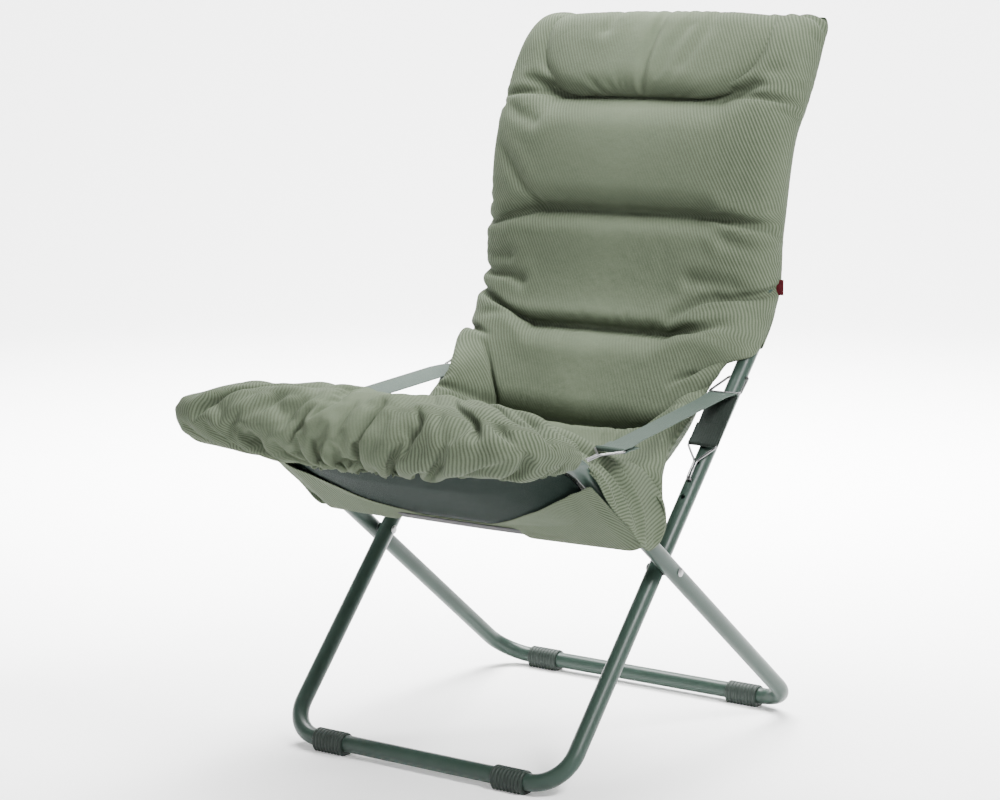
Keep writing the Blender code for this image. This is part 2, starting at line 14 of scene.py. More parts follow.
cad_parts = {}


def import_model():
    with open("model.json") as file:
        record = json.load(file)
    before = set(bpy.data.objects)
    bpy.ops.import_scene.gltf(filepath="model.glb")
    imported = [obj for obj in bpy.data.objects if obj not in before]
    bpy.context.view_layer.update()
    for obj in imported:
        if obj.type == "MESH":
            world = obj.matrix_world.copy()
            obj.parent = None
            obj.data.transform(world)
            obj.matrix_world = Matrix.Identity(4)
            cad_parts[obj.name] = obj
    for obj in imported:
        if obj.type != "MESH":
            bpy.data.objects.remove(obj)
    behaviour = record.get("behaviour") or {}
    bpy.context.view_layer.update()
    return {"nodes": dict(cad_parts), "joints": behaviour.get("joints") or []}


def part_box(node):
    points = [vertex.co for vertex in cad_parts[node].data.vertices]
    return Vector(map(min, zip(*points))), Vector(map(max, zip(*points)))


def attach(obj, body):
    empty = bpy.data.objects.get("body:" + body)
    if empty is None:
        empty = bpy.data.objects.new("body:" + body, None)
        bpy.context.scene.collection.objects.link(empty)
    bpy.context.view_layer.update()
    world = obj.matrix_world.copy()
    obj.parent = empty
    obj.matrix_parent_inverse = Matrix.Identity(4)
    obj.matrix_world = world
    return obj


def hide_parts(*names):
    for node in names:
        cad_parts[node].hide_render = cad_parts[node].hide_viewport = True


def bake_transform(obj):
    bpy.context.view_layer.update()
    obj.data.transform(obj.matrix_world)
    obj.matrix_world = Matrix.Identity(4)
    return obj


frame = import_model()

# ---------------------------------------------------------------- sizes, as in the CAD model
TUBE_R = 0.0125
BACK_HALF = 0.245
SEAT_HALF = 0.273
CORNER_R = 0.055
SOFT_BEND_R = 0.120
LEAN = math.radians(41.64)
RISE = math.radians(37.53)
MID_LEAN = math.radians(12.5)
HEAD_LEAN = math.radians(30.0)
TIP_RISE = math.radians(11.0)
PIVOT_ON_BACK = 0.357
PIVOT_ON_SEAT = 0.438
BACK_BEND = 0.790
MID_LENGTH = 0.293
HEAD_LENGTH = 0.176
BACK_JOINT = 0.110
SEAT_BEND = 0.752
SEAT_JOINT = 0.600
TIP_LENGTH = 0.150
HOLES = (0.4720, 0.5015, 0.5310, 0.5605)
USED_HOLE = HOLES[1]
HOLE_R = 0.0042
GUIDE_HOLE = 0.692
GUIDE_REACH = Vector((-0.041, -0.018))
SEAT_HOOK_HOLE = 0.730
GUIDE_WIRE_R = 0.002
HOOK_WIRE_R = 0.00175
BASE_HALF = 0.027
HOOK_NECK = 0.030
HOOK_LENGTH = 0.060
STRAP_W = 0.048
STRAP_T = 0.0016
STANDOFF = 0.0170

fold = next(joint for joint in frame["joints"] if joint["name"] == "fold")
pivot = Vector(fold["pos_m"][1:])
back_dir = Vector((math.sin(LEAN), math.cos(LEAN)))
back_front = Vector((-back_dir.y, back_dir.x))
seat_dir = Vector((-math.cos(RISE), math.sin(RISE)))
seat_top = Vector((seat_dir.y, -seat_dir.x))
mid_dir = Vector((math.sin(MID_LEAN), math.cos(MID_LEAN)))
head_dir = Vector((math.sin(HEAD_LEAN), math.cos(HEAD_LEAN)))
tip_dir = Vector((-math.cos(TIP_RISE), math.sin(TIP_RISE)))
back_floor = pivot - back_dir * PIVOT_ON_BACK
seat_floor = pivot - seat_dir * PIVOT_ON_SEAT
back_bend_1 = back_floor + back_dir * BACK_BEND
back_bend_2 = back_bend_1 + mid_dir * MID_LENGTH
back_end = back_bend_2 + head_dir * HEAD_LENGTH
back_joint = back_bend_1 + mid_dir * BACK_JOINT
seat_bend = seat_floor + seat_dir * SEAT_BEND
seat_joint = seat_floor + seat_dir * SEAT_JOINT
seat_end = seat_bend + tip_dir * TIP_LENGTH


def on_back(distance, off=0.0):
    return back_floor + back_dir * distance + back_front * off


def on_seat(distance, off=0.0):
    return seat_floor + seat_dir * distance + seat_top * off


def at(x, point):
    return Vector((x, point.x, point.y))


# ---------------------------------------------------------------- materials
def new_material(name, base, roughness, metallic=0.0):
    made = bpy.data.materials.new(name)
    made.use_nodes = True
    shader = made.node_tree.nodes["Principled BSDF"]
    shader.inputs["Base Color"].default_value = (*base, 1.0)
    shader.inputs["Roughness"].default_value = roughness
    shader.inputs["Metallic"].default_value = metallic
    made.diffuse_color = (*base, 1.0)
    return made, made.node_tree, shader


def add_node(tree, kind, inputs=None, **settings):
    made = tree.nodes.new(kind)
    for key, value in settings.items():
        setattr(made, key, value)
    for key, value in (inputs or {}).items():
        made.inputs[key].default_value = value
    return made


def object_noise(tree, scale, detail=3.0):
    """Noise fixed to the object, in cycles per metre."""
    place = add_node(tree, "ShaderNodeTexCoord")
    noise = add_node(tree, "ShaderNodeTexNoise", {"Scale": scale, "Detail": detail})
    tree.links.new(place.outputs["Object"], noise.inputs["Vector"])
    return noise.outputs["Fac"]


def spread(tree, value, low, high):
    """A 0 to 1 value brought to a range."""
    node = add_node(tree, "ShaderNodeMapRange", {"To Min": low, "To Max": high})
    tree.links.new(value, node.inputs["Value"])
    return node.outputs["Result"]


def mixed(tree, factor, first, second):
    """A colour between two, each a tuple or a socket."""
    mix = add_node(tree, "ShaderNodeMix", data_type="RGBA")
    tree.links.new(factor, mix.inputs["Factor"])
    for socket, value in (("A", first), ("B", second)):
        target = [item for item in mix.inputs if item.name == socket and item.type == "RGBA"][0]
        if isinstance(value, tuple):
            target.default_value = (*value, 1.0)
        else:
            tree.links.new(value, target)
    return [item for item in mix.outputs if item.type == "RGBA"][0]


def maths(tree, kind, *values):
    """A maths node's result; each value is a number or a socket."""
    node = add_node(tree, "ShaderNodeMath", operation=kind)
    for target, value in zip(node.inputs, values):
        if isinstance(value, (int, float)):
            target.default_value = value
        else:
            tree.links.new(value, target)
    return node.outputs["Value"]


def bump(tree, shader, height, distance, strength, below=None):
    node = add_node(tree, "ShaderNodeBump", {"Distance": distance, "Strength": strength})
    tree.links.new(height, node.inputs["Height"])
    if below is not None:
        tree.links.new(below, node.inputs["Normal"])
    tree.links.new(node.outputs["Normal"], shader.inputs["Normal"])
    return node.outputs["Normal"]


def finish_shader(tree, shader, gloss, colour, roughness):
    shader.inputs["Specular IOR Level"].default_value = gloss
    tree.links.new(colour, shader.inputs["Base Color"])
    tree.links.new(roughness, shader.inputs["Roughness"])


def coat_material(name, base, dark, light, roughness, gloss, patches, shine, grain, metallic=0.0):
    """Paint, rubber or metal: patches between two near colours, with an uneven shine and a fine grain.

    patches is (cycles per metre, detail), shine (cycles per metre, lowest and highest roughness) and
    grain (cycles per metre, detail, depth in metres, strength).
    """
    made, tree, shader = new_material(name, base, roughness, metallic)
    colour = mixed(tree, object_noise(tree, *patches), dark, light)
    finish_shader(tree, shader, gloss, colour, spread(tree, object_noise(tree, shine[0]), *shine[1:]))
    bump(tree, shader, object_noise(tree, *grain[:2]), *grain[2:])
    return made


def metal_material(name, tone, roughness):
    return coat_material(name, (tone, tone * 1.01, tone), (tone * 0.72,) * 3, (tone * 1.15,) * 3, roughness,
                         gloss=0.5, patches=(120.0, 5.0), shine=(300.0, roughness * 0.7, roughness * 1.5),
                         grain=(1500.0, 2.0, 0.0001, 0.3), metallic=1.0)


def uv_parts(tree):
    """The UV coordinates, in metres across and along the cloth."""
    place = add_node(tree, "ShaderNodeUVMap", uv_map="UVMap")
    split = add_node(tree, "ShaderNodeSeparateXYZ")
    tree.links.new(place.outputs["UV"], split.inputs["Vector"])
    return split.outputs["X"], split.outputs["Y"]


def stripes(tree, along, period):
    """0 to 1 stripes across a UV direction, with a period in metres."""
    wave = maths(tree, "SINE", maths(tree, "MULTIPLY", along, math.tau / period))
    return maths(tree, "MULTIPLY_ADD", wave, 0.5, 0.5)


WALE_SLANT = (0.87, -0.50)
WALE_CLEAR_AT = 1 / 4.5    # how far from the middle the wales are at their clearest
THREAD_SHARE = 0.30        # of a wale's period


def cloth_material(name, light, dark, period, line_strength, roughness, gloss):
    """Twill: diagonal wales that fade towards the middle, over a fine thread grid and flecked yarn."""
    made, tree, shader = new_material(name, light, roughness)
    u, v = uv_parts(tree)
    slant = maths(tree, "MULTIPLY_ADD", u, WALE_SLANT[0], maths(tree, "MULTIPLY", v, WALE_SLANT[1]))
    wobble = maths(tree, "MULTIPLY", object_noise(tree, 9.0, 2.0), period * 0.9)
    wale = stripes(tree, maths(tree, "ADD", slant, wobble), period)
    threads = maths(tree, "MULTIPLY", *(stripes(tree, along, period * THREAD_SHARE) for along in (u, v)))
    fleck = object_noise(tree, 620.0)
    border = maths(tree, "MULTIPLY", maths(tree, "ABSOLUTE", u), 1 / WALE_CLEAR_AT)
    border.node.use_clamp = True
    patches = maths(tree, "MULTIPLY", spread(tree, object_noise(tree, 7.0), 0.35, 1.25), border)
    lines = maths(tree, "MULTIPLY", wale, patches)
    shade = maths(tree, "MULTIPLY_ADD", fleck, 0.42, maths(tree, "MULTIPLY", lines, line_strength))
    broad = spread(tree, object_noise(tree, 3.5, 2.0), 0.0, 0.35)
    between = tuple(0.5 * (a + b) for a, b in zip(light, dark))
    colour = mixed(tree, broad, mixed(tree, shade, light, dark), between)
    uneven = spread(tree, fleck, roughness - 0.08, roughness + 0.08)
    finish_shader(tree, shader, gloss, colour, uneven)
    weave = maths(tree, "MULTIPLY_ADD", lines, 0.9, maths(tree, "MULTIPLY", threads, 0.6))
    weave = maths(tree, "MULTIPLY_ADD", fleck, 0.5, weave)
    small = bump(tree, shader, weave, 0.0007, 0.55)
    bump(tree, shader, object_noise(tree, 34.0), 0.0040, 0.35, small)
    return made


def webbing_material(name, light, dark):
    """Flat woven webbing: warp ribs along it, fine picks across."""
    made, tree, shader = new_material(name, light, 0.62)
    u, v = uv_parts(tree)
    weave = maths(tree, "MULTIPLY", stripes(tree, u, 0.0040), stripes(tree, v, 0.0022))
    fleck = object_noise(tree, 500.0)
    shade = maths(tree, "MULTIPLY_ADD", weave, 0.45, maths(tree, "MULTIPLY", fleck, 0.5))
    finish_shader(tree, shader, 0.10, mixed(tree, shade, light, dark), spread(tree, fleck, 0.52, 0.74))
    bump(tree, shader, weave, 0.0004, 0.6)
    return made


PAINT = coat_material("powder_coat", (0.020, 0.036, 0.028), (0.018, 0.032, 0.025), (0.024, 0.042, 0.033),
                      0.42, gloss=0.24, patches=(14.0, 4.0), shine=(60.0, 0.30, 0.46),
                      grain=(900.0, 2.0, 0.00025, 0.35))
RUBBER = coat_material("foot_rubber", (0.012, 0.020, 0.016), (0.010, 0.017, 0.013), (0.016, 0.025, 0.020),
                       0.60, gloss=0.30, patches=(40.0, 5.0), shine=(90.0, 0.46, 0.68),
                       grain=(700.0, 3.0, 0.0002, 0.5))
ZINC = metal_material("zinc_wire", 0.17, 0.30)
RIVET = metal_material("rivet_steel", 0.30, 0.36)
CLOTH = cloth_material("twill_cloth", (0.106, 0.128, 0.086), (0.026, 0.034, 0.021), period=0.0050,
                       line_strength=0.75, roughness=0.90, gloss=0.10)
SLING = cloth_material("sling_cloth", (0.010, 0.017, 0.014), (0.006, 0.010, 0.008), period=0.0016,
                       line_strength=0.35, roughness=0.80, gloss=0.03)
WEBBING = webbing_material("webbing", (0.048, 0.068, 0.056), (0.026, 0.038, 0.031))
WEBBING_DARK = webbing_material("webbing_shade", (0.028, 0.036, 0.031), (0.012, 0.016, 0.014))
TAPE = webbing_material("binding_tape", (0.060, 0.060, 0.062), (0.028, 0.029, 0.030))
TAB = webbing_material("tab_tape", (0.055, 0.005, 0.008), (0.030, 0.003, 0.005))


# ---------------------------------------------------------------- mesh helpers
def link_in(name, data):
    made = bpy.data.objects.new(name, data)
    bpy.context.scene.collection.objects.link(made)
    return made


def evaluated_mesh(holder):
    """An object's shape, with its modifiers, as a mesh."""
    bpy.context.view_layer.update()
    return bpy.data.meshes.new_from_object(holder.evaluated_get(bpy.context.evaluated_depsgraph_get()))


def add_object(name, data, material, body=None, stands_for=()):
    made = link_in(name, data)
    data.materials.clear()
    data.materials.append(material)
    if body:
        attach(made, body)
    if stands_for:
        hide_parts(*stands_for)
    return made


def node_name(node):
    """The name for a piece that stands for a CAD node, whose own object keeps the plain name."""
    return node + ".look"


def smooth(mesh, angle=40.0):
    mesh.shade_smooth()
    mesh.set_sharp_from_angle(angle=math.radians(angle))


def mesh_of(shape, name, outwards=True):
    """The finished bmesh as a mesh; outwards turns its faces so."""
    if outwards:
        bmesh.ops.recalc_face_normals(shape, faces=shape.faces)
    mesh = bpy.data.meshes.new(name)
    shape.to_mesh(mesh)
    shape.free()
    return mesh


def fillet(points, radii, steps=10, cyclic=False):
    """The corners of a 3-D polyline rounded to arcs; radii is one value or one for each corner."""
    count = len(points)
    rounded = []
    for index, corner in enumerate(points):
        if not cyclic and index in (0, count - 1):
            rounded.append(corner.copy())
            continue
        radius = radii if isinstance(radii, float) else radii[index]
        to_last = (points[index - 1] - corner).normalized()
        to_next = (points[(index + 1) % count] - corner).normalized()
        half = to_last.angle(to_next) / 2
        reach = radius / math.tan(half)
        centre = corner + (to_last + to_next).normalized() * (radius / math.sin(half))
        first = corner + to_last * reach - centre
        last = corner + to_next * reach - centre
        sweep = first.angle(last)
        for step in range(steps + 1):
            part = step / steps
            arm = (first * math.sin((1 - part) * sweep) + last * math.sin(part * sweep)) / math.sin(sweep)
            rounded.append(centre + arm)
    return rounded


def curve_mesh(name, points, radius, resolution, cyclic=False):
    """A round bar along points, as a mesh with welded caps."""
    curve = bpy.data.curves.new(name, "CURVE")
    curve.dimensions = "3D"
    curve.bevel_depth = radius
    curve.bevel_resolution = resolution
    curve.use_fill_caps = not cyclic
    spline = curve.splines.new("POLY")
    spline.points.add(len(points) - 1)
    for target, point in zip(spline.points, points):
        target.co = (*point, 1.0)
    spline.use_cyclic_u = cyclic
    holder = link_in(name, curve)
    mesh = evaluated_mesh(holder)
    bpy.data.objects.remove(holder)
    shape = bmesh.new()
    shape.from_mesh(mesh)
    bmesh.ops.remove_doubles(shape, verts=shape.verts, dist=0.000001)
    bmesh.ops.recalc_face_normals(shape, faces=shape.faces)
    shape.to_mesh(mesh)
    shape.free()
    mesh.name = name
    return mesh


def with_holes(mesh, holes):
    """The mesh with cylinders (centre, axis, radius, length) cut out of it."""
    shape = bmesh.new()
    for centre, axis, radius, length in holes:
        turn = Vector((0, 0, 1)).rotation_difference(Vector(axis)).to_matrix().to_4x4()
        bmesh.ops.create_cone(shape, cap_ends=True, segments=24, radius1=radius, radius2=radius,
                              depth=length, matrix=Matrix.Translation(centre) @ turn)
    piece = link_in("bored", mesh)
    tool = link_in("holes", mesh_of(shape, "holes", outwards=False))
    cut = piece.modifiers.new("cut", "BOOLEAN")
    cut.object = tool
    cut.operation = "DIFFERENCE"
    result = evaluated_mesh(piece)
    for item in (piece, tool):
        bpy.data.objects.remove(item)
    return result


# ---------------------------------------------------------------- frames
def frame_tube(node, body, half_width, side_points, end, holes=()):
    left = [at(half_width, point) for point in side_points]
    right = [at(-half_width, point) for point in reversed(side_points)]
    corners = left + [at(half_width, end), at(-half_width, end)] + right
    radii = [SOFT_BEND_R] * len(left) + [CORNER_R] * 2 + [SOFT_BEND_R] * len(right)
    mesh = curve_mesh(node, fillet(corners, radii, 14), TUBE_R, 14)
    if holes:
        mesh = with_holes(mesh, holes)
    smooth(mesh, 35.0)
    add_object(node_name(node), mesh, PAINT, body, (node,))


def adjuster_holes():
    found = []
    for side in (1, -1):
        x = side * BACK_HALF
        for distance in HOLES:
            found.append((at(x, on_back(distance, TUBE_R)), (0, *back_front), HOLE_R, 0.014))
        found.append((at(x, on_back(GUIDE_HOLE)), (1, 0, 0), GUIDE_WIRE_R + 0.0006, 0.06))
    return found


def seat_holes():
    return [(at(side * SEAT_HALF, on_seat(SEAT_HOOK_HOLE, TUBE_R)), (0, *seat_top), HOLE_R, 0.014)
            for side in (1, -1)]


HALF_GAP = 0.00015    # between the two tubes of a frame at their joint
frame_tube("front_leg_tube", "back_frame", BACK_HALF,
           [back_joint - mid_dir * HALF_GAP, back_bend_1], back_floor, adjuster_holes())
frame_tube("back_top_tube", "back_frame", BACK_HALF,
           [back_joint + mid_dir * HALF_GAP, back_bend_2], back_end)
frame_tube("rear_leg_tube", "seat_frame", SEAT_HALF, [seat_joint - seat_dir * HALF_GAP], seat_floor)
frame_tube("seat_front_tube", "seat_frame", SEAT_HALF, [seat_joint + seat_dir * HALF_GAP, seat_bend],
           seat_end, seat_holes())

FOOT_R = 0.0155
FOOT_SIDES = 56
FOOT_WIDER = 0.10     # how far the sleeve spreads and reaches down at its foot, as shares of its radius
FOOT_DEEPER = 0.34
RIB_COUNT = 9
RIB_DEPTH = 0.0011
RIM = [FOOT_R - 0.0022, FOOT_R - 0.0006]
# place along one rib, and how far below its crest as a share of its depth
RIB = ((0.10, 0.35), (0.25, 0.0), (0.60, 0.0), (0.74, 0.4), (0.82, 1.0), (0.95, 1.0))
BAR_Z = back_floor.y


def foot(node, body):
    """A ribbed sleeve round the floor bar, squared off where it stands on the ground."""
    low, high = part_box(node)
    centre = Vector(((low.y + high.y) / 2, BAR_Z))
    length = high.x - low.x
    pitch = length / RIB_COUNT
    stations = [(0.0, radius) for radius in RIM]
    for rib in range(RIB_COUNT):
        stations += [((rib + part) * pitch, FOOT_R + 0.0004 - drop * RIB_DEPTH) for part, drop in RIB]
    stations += [(length, radius) for radius in reversed(RIM)]
    shape = bmesh.new()
    rings = []
    for along, radius in stations:
        ring = []
        for step in range(FOOT_SIDES):
            angle = math.tau * step / FOOT_SIDES
            square = max(0.0, -math.sin(angle)) ** 0.8
            y = math.cos(angle) * radius * (1 + FOOT_WIDER * square)
            z = max(math.sin(angle) * radius * (1 + FOOT_DEEPER * square), -BAR_Z)
            ring.append(shape.verts.new((low.x + along, centre.x + y, centre.y + z)))
        rings.append(ring)
    for first, second in zip(rings, rings[1:]):
        for step in range(FOOT_SIDES):
            nxt = (step + 1) % FOOT_SIDES
            shape.faces.new((first[step], first[nxt], second[nxt], second[step]))
    shape.faces.new(list(reversed(rings[0])))
    shape.faces.new(rings[-1])
    mesh = mesh_of(shape, node)
    smooth(mesh, 50.0)
    add_object(node_name(node), mesh, RUBBER, body, (node,))


for word in ("left", "right"):
    foot("front_foot_" + word, "back_frame")
    foot("rear_foot_" + word, "seat_frame")

CAD_LOOKS = {"pivot_rivet_": RIVET, "pivot_washer_": RUBBER, "back_spigot_": PAINT, "seat_spigot_": PAINT,
             "back_joint_rivet_": RIVET, "seat_joint_rivet_": RIVET}
for word in ("left", "right"):
    for node, material in CAD_LOOKS.items():
        holder = frame["nodes"][node + word]
        holder.data.materials.clear()
        holder.data.materials.append(material)


# ---------------------------------------------------------------- wires
WIRE_BEND_R = 0.0035
NECK_BEND_R = 0.008
HOOK_BEND_R = 0.003
HOOK_SINK = 0.004    # where the hook's wires end, off the tube's axis


def guide_loop(node, x):
    hole = on_back(GUIDE_HOLE)
    base = hole + GUIDE_REACH
    bend_x = TUBE_R + 0.0035
    corners = [at(x + bend_x, hole), at(x + BASE_HALF, base), at(x - BASE_HALF, base), at(x - bend_x, hole)]
    mesh = curve_mesh(node, fillet(corners, WIRE_BEND_R, 6, cyclic=True), GUIDE_WIRE_R, 6, cyclic=True)
    smooth(mesh)
    add_object(node_name(node), mesh, ZINC, node, (node,))


def hook(node, x, start, normal, ahead):
    neck_x = HOOK_WIRE_R + 0.0003
    half = [(neck_x, start + normal * HOOK_SINK), (neck_x, start + normal * STANDOFF),
            (neck_x, start + ahead * HOOK_NECK + normal * STANDOFF),
            (BASE_HALF, start + ahead * HOOK_LENGTH + normal * STANDOFF)]
    path = [at(x + spread_x, point) for spread_x, point in half]
    path += [at(x - spread_x, point) for spread_x, point in reversed(half)]
    radii = [0.0, HOOK_BEND_R, NECK_BEND_R, WIRE_BEND_R]
    mesh = curve_mesh(node, fillet(path, radii + radii[::-1], 6), HOOK_WIRE_R, 6)
    smooth(mesh)
    add_object(node_name(node), mesh, ZINC, node, (node,))


guide_base = on_back(GUIDE_HOLE) + GUIDE_REACH
seat_hook_start = on_seat(SEAT_HOOK_HOLE)
strap_rest = guide_base + Vector((0.0, GUIDE_WIRE_R + 0.0003 + STRAP_T / 2))
strap_dir = (strap_rest - (seat_hook_start + seat_top * STANDOFF)).normalized()
for side, word in ((1, "left"), (-1, "right")):
    guide_loop("strap_guide_" + word, side * BACK_HALF)
    hook("adjuster_hook_" + word, side * BACK_HALF, on_back(USED_HOLE), back_front, back_dir)
    hook("seat_hook_" + word, side * SEAT_HALF, seat_hook_start, seat_top, strap_dir)


# ---------------------------------------------------------------- straps
WIRE_ROOM = HOOK_WIRE_R + 0.0003
GUIDE_ROOM = GUIDE_WIRE_R + 0.0003 + STRAP_T / 2
LAYER_GAP = STRAP_T * 1.05    # from the middle of one layer of webbing to that of the next
front_end = seat_hook_start + seat_top * STANDOFF + strap_dir * (HOOK_LENGTH + WIRE_ROOM)
low_end = on_back(USED_HOLE + HOOK_LENGTH + WIRE_ROOM, STANDOFF)
turn_point = guide_base - GUIDE_REACH.normalized() * GUIDE_ROOM
STRAP_FOLD = 0.032
RIBBON = ((-1.0, 0.0), (-0.985, 0.42), (-0.93, 0.5), (0.93, 0.5), (0.985, 0.42), (1.0, 0.0),
          (0.985, -0.42), (0.93, -0.5), (-0.93, -0.5), (-0.985, -0.42))


def ribbon(name, path, material, leans=None):
    """Webbing along 3-D points, with soft edges and UVs in metres. It lies across X, turned by leans."""
    shape = bmesh.new()
    layer = shape.loops.layers.uv.new("UVMap")
    rings, reach = [], [0.0]
    for index, point in enumerate(path):
        ahead = (path[min(index + 1, len(path) - 1)] - path[max(index - 1, 0)]).normalized()
        across = (Vector((1, 0, 0)) - ahead * ahead.x).normalized()
        up = across.cross(ahead)
        if leans:
            across, up = (across * math.cos(leans[index]) + up * math.sin(leans[index]),
                          up * math.cos(leans[index]) - across * math.sin(leans[index]))
        if index:
            reach.append(reach[-1] + (point - path[index - 1]).length)
        rings.append([shape.verts.new(point + across * (a * STRAP_W / 2) + up * (b * STRAP_T))
                      for a, b in RIBBON])
    count = len(RIBBON)
    for index, (first, second) in enumerate(zip(rings, rings[1:])):
        for step in range(count):
            nxt = (step + 1) % count
            face = shape.faces.new((first[step], first[nxt], second[nxt], second[step]))
            for loop, (corner, row) in zip(face.loops, ((step, 0), (nxt, 0), (nxt, 1), (step, 1))):
                loop[layer].uv = (RIBBON[corner][0] * STRAP_W / 2, reach[index + row])
    shape.faces.new(list(reversed(rings[0])))
    shape.faces.new(rings[-1])
    mesh = mesh_of(shape, name)
    smooth(mesh, 50.0)
    return add_object(name, mesh, material)


def dense(points, pitch):
    """The polyline with a point about every pitch."""
    filled = [points[0]]
    for first, second in zip(points, points[1:]):
        steps = max(1, int((second - first).length / pitch))
        filled += [first.lerp(second, step / steps) for step in range(1, steps + 1)]
    return filled


def wrapped_end(end, along, normal):
    """Points in (y, z) from a strap's end round the wire bar beyond it and back underneath."""
    bar = end - along * WIRE_ROOM
    radius = WIRE_ROOM + STRAP_T * 0.6
    points = []
    for step in range(11):
        angle = math.pi * (0.5 + step / 10)
        points.append(bar + along * (radius * math.cos(angle)) + normal * (radius * math.sin(angle)))
    return points + [end + along * reach - normal * LAYER_GAP for reach in (0.006, STRAP_FOLD)]


STRAP_ROLL = 0.13    # radians, over the length between the front wire and the guide
ROLL_REACH = 0.12    # the share of that length over which the roll starts and ends
STRAP_TURN_R = 0.0045


def strap(word, side):
    seat_x, back_x = side * SEAT_HALF, side * BACK_HALF
    arm_normal = Vector((-strap_dir.y, strap_dir.x))
    front, turn, low = at(seat_x, front_end), at(back_x, turn_point), at(back_x, low_end)
    loop = [at(seat_x, point) for point in reversed(wrapped_end(front_end, strap_dir, arm_normal))]
    run = [front.lerp(turn, step / 24) for step in range(1, 24)]
    corner = fillet([front, turn, low], STRAP_TURN_R, 8)[1:-1]
    arm_path = dense(loop + run, 0.02) + corner[:5]
    leans = []
    for point in arm_path:
        part = (point.y - front.y) / (turn.y - front.y)
        leans.append(side * STRAP_ROLL * max(0.0, min(1.0, part / ROLL_REACH, (1 - part) / ROLL_REACH)))
    arm = ribbon("strap_arm_" + word, arm_path, WEBBING, leans)
    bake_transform(arm)
    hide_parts("adjuster_strap_" + word)
    tail_dir = (turn_point - low_end).normalized()
    tail_normal = Vector((tail_dir.y, -tail_dir.x))
    tail_loop = [at(back_x, point) for point in wrapped_end(low_end, tail_dir, tail_normal)]
    tail = ribbon("strap_tail_" + word, dense(corner[4:] + tail_loop, 0.012), WEBBING_DARK)
    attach(tail, "back_frame")


for side, word in ((1, "left"), (-1, "right")):
    strap(word, side)


# ---------------------------------------------------------------- cloth grids
CELL = 0.0064
EDGE_POWER = 3.2    # how square a row across the back is: 2 is round


def spline_rows(rows, counts):
    """Catmull-Rom through rows (each an array of 3-D points), with a number of steps between each pair."""
    rows = [np.asarray(row, float) for row in rows]
    first = 2 * rows[0] - rows[1]
    last = 2 * rows[-1] - rows[-2]
    guides = [first] + rows + [last]
    out = []
    for index, count in enumerate(counts):
        a, b, c, d = guides[index:index + 4]
        ab = max(np.linalg.norm(b - a, axis=-1).mean(), 1e-6)
        bc = max(np.linalg.norm(c - b, axis=-1).mean(), 1e-6)
        cd = max(np.linalg.norm(d - c, axis=-1).mean(), 1e-6)
        m1 = (c - b) + bc * ((b - a) / ab - (c - a) / (ab + bc))
        m2 = (c - b) + bc * ((d - c) / cd - (d - b) / (bc + cd))
        for step in range(count):
            t = step / count
            out.append((2 * t ** 3 - 3 * t ** 2 + 1) * b + (t ** 3 - 2 * t ** 2 + t) * m1
                       + (3 * t ** 2 - 2 * t ** 3) * c + (t ** 3 - t ** 2) * m2)
    out.append(rows[-1])
    return np.array(out)


def even(points, count):
    """A 3-D polyline resampled to count points, evenly along it."""
    points = np.asarray(points, float)
    reach = np.concatenate(([0.0], np.cumsum(np.linalg.norm(np.diff(points, axis=0), axis=1))))
    target = np.linspace(0.0, reach[-1], count)
    return np.stack([np.interp(target, reach, points[:, axis]) for axis in range(3)], axis=1)


def curve_through(points, count):
    """A smooth curve through control points, resampled evenly."""
    fine = spline_rows([np.array([point]) for point in points], [24] * (len(points) - 1))[:, 0]
    return even(fine, count)


def mirrored(half):
    """Control points from the middle outwards, in mm, made into a whole row from -X to +X in metres."""
    half = [np.array(point, float) / 1000.0 for point in half]
    flip = np.array((-1.0, 1.0, 1.0))
    return [point * flip for point in reversed(half[1:])] + half


def steps_between(rows, cell=CELL):
    """How many grid rows fit between neighbouring control rows, by their middle points' distance."""
    return [max(1, int(round(np.linalg.norm(b - a, axis=1).mean() / cell))) for a, b in zip(rows, rows[1:])]


def grid_normals(grid):
    across = np.gradient(grid, axis=1)
    along = np.gradient(grid, axis=0)
    normal = np.cross(along, across)
    return normal / np.maximum(np.linalg.norm(normal, axis=2, keepdims=True), 1e-9)


def soft_noise(shape, cells, seed):
    """Smooth noise from -1 to 1 on a grid, with features about cells wide."""
    random = np.random.RandomState(seed)
    coarse = random.uniform(-1.0, 1.0, (int(shape[0] / cells) + 3, int(shape[1] / cells) + 3))
    rows = np.linspace(0, coarse.shape[0] - 1.001, shape[0])
    cols = np.linspace(0, coarse.shape[1] - 1.001, shape[1])
    r0, c0 = rows.astype(int), cols.astype(int)
    fr, fc = (rows - r0)[:, None], (cols - c0)[None, :]
    fr, fc = fr * fr * (3 - 2 * fr), fc * fc * (3 - 2 * fc)
    a, b = coarse[np.ix_(r0, c0)], coarse[np.ix_(r0, c0 + 1)]
    c, d = coarse[np.ix_(r0 + 1, c0)], coarse[np.ix_(r0 + 1, c0 + 1)]
    return (a * (1 - fr) + c * fr) * (1 - fc) + (b * (1 - fr) + d * fr) * fc


def pushed(grid, amount):
    """The grid moved along its normals, by one amount or by one for each point."""
    return grid + grid_normals(grid) * np.asarray(amount)[..., None]


def ramp(value, start, end):
    """0 up to start, 1 from end."""
    return np.clip((value - start) / (end - start), 0, 1)


def loose(grid, columns=1):
    """How freely each point moves: 0 in the sewn first and last rows and outer columns, 1 elsewhere."""
    moving = np.ones(grid.shape[:2])
    moving[0] = moving[-1] = 0.0
    moving[:, :columns] = moving[:, -columns:] = 0.0
    return moving


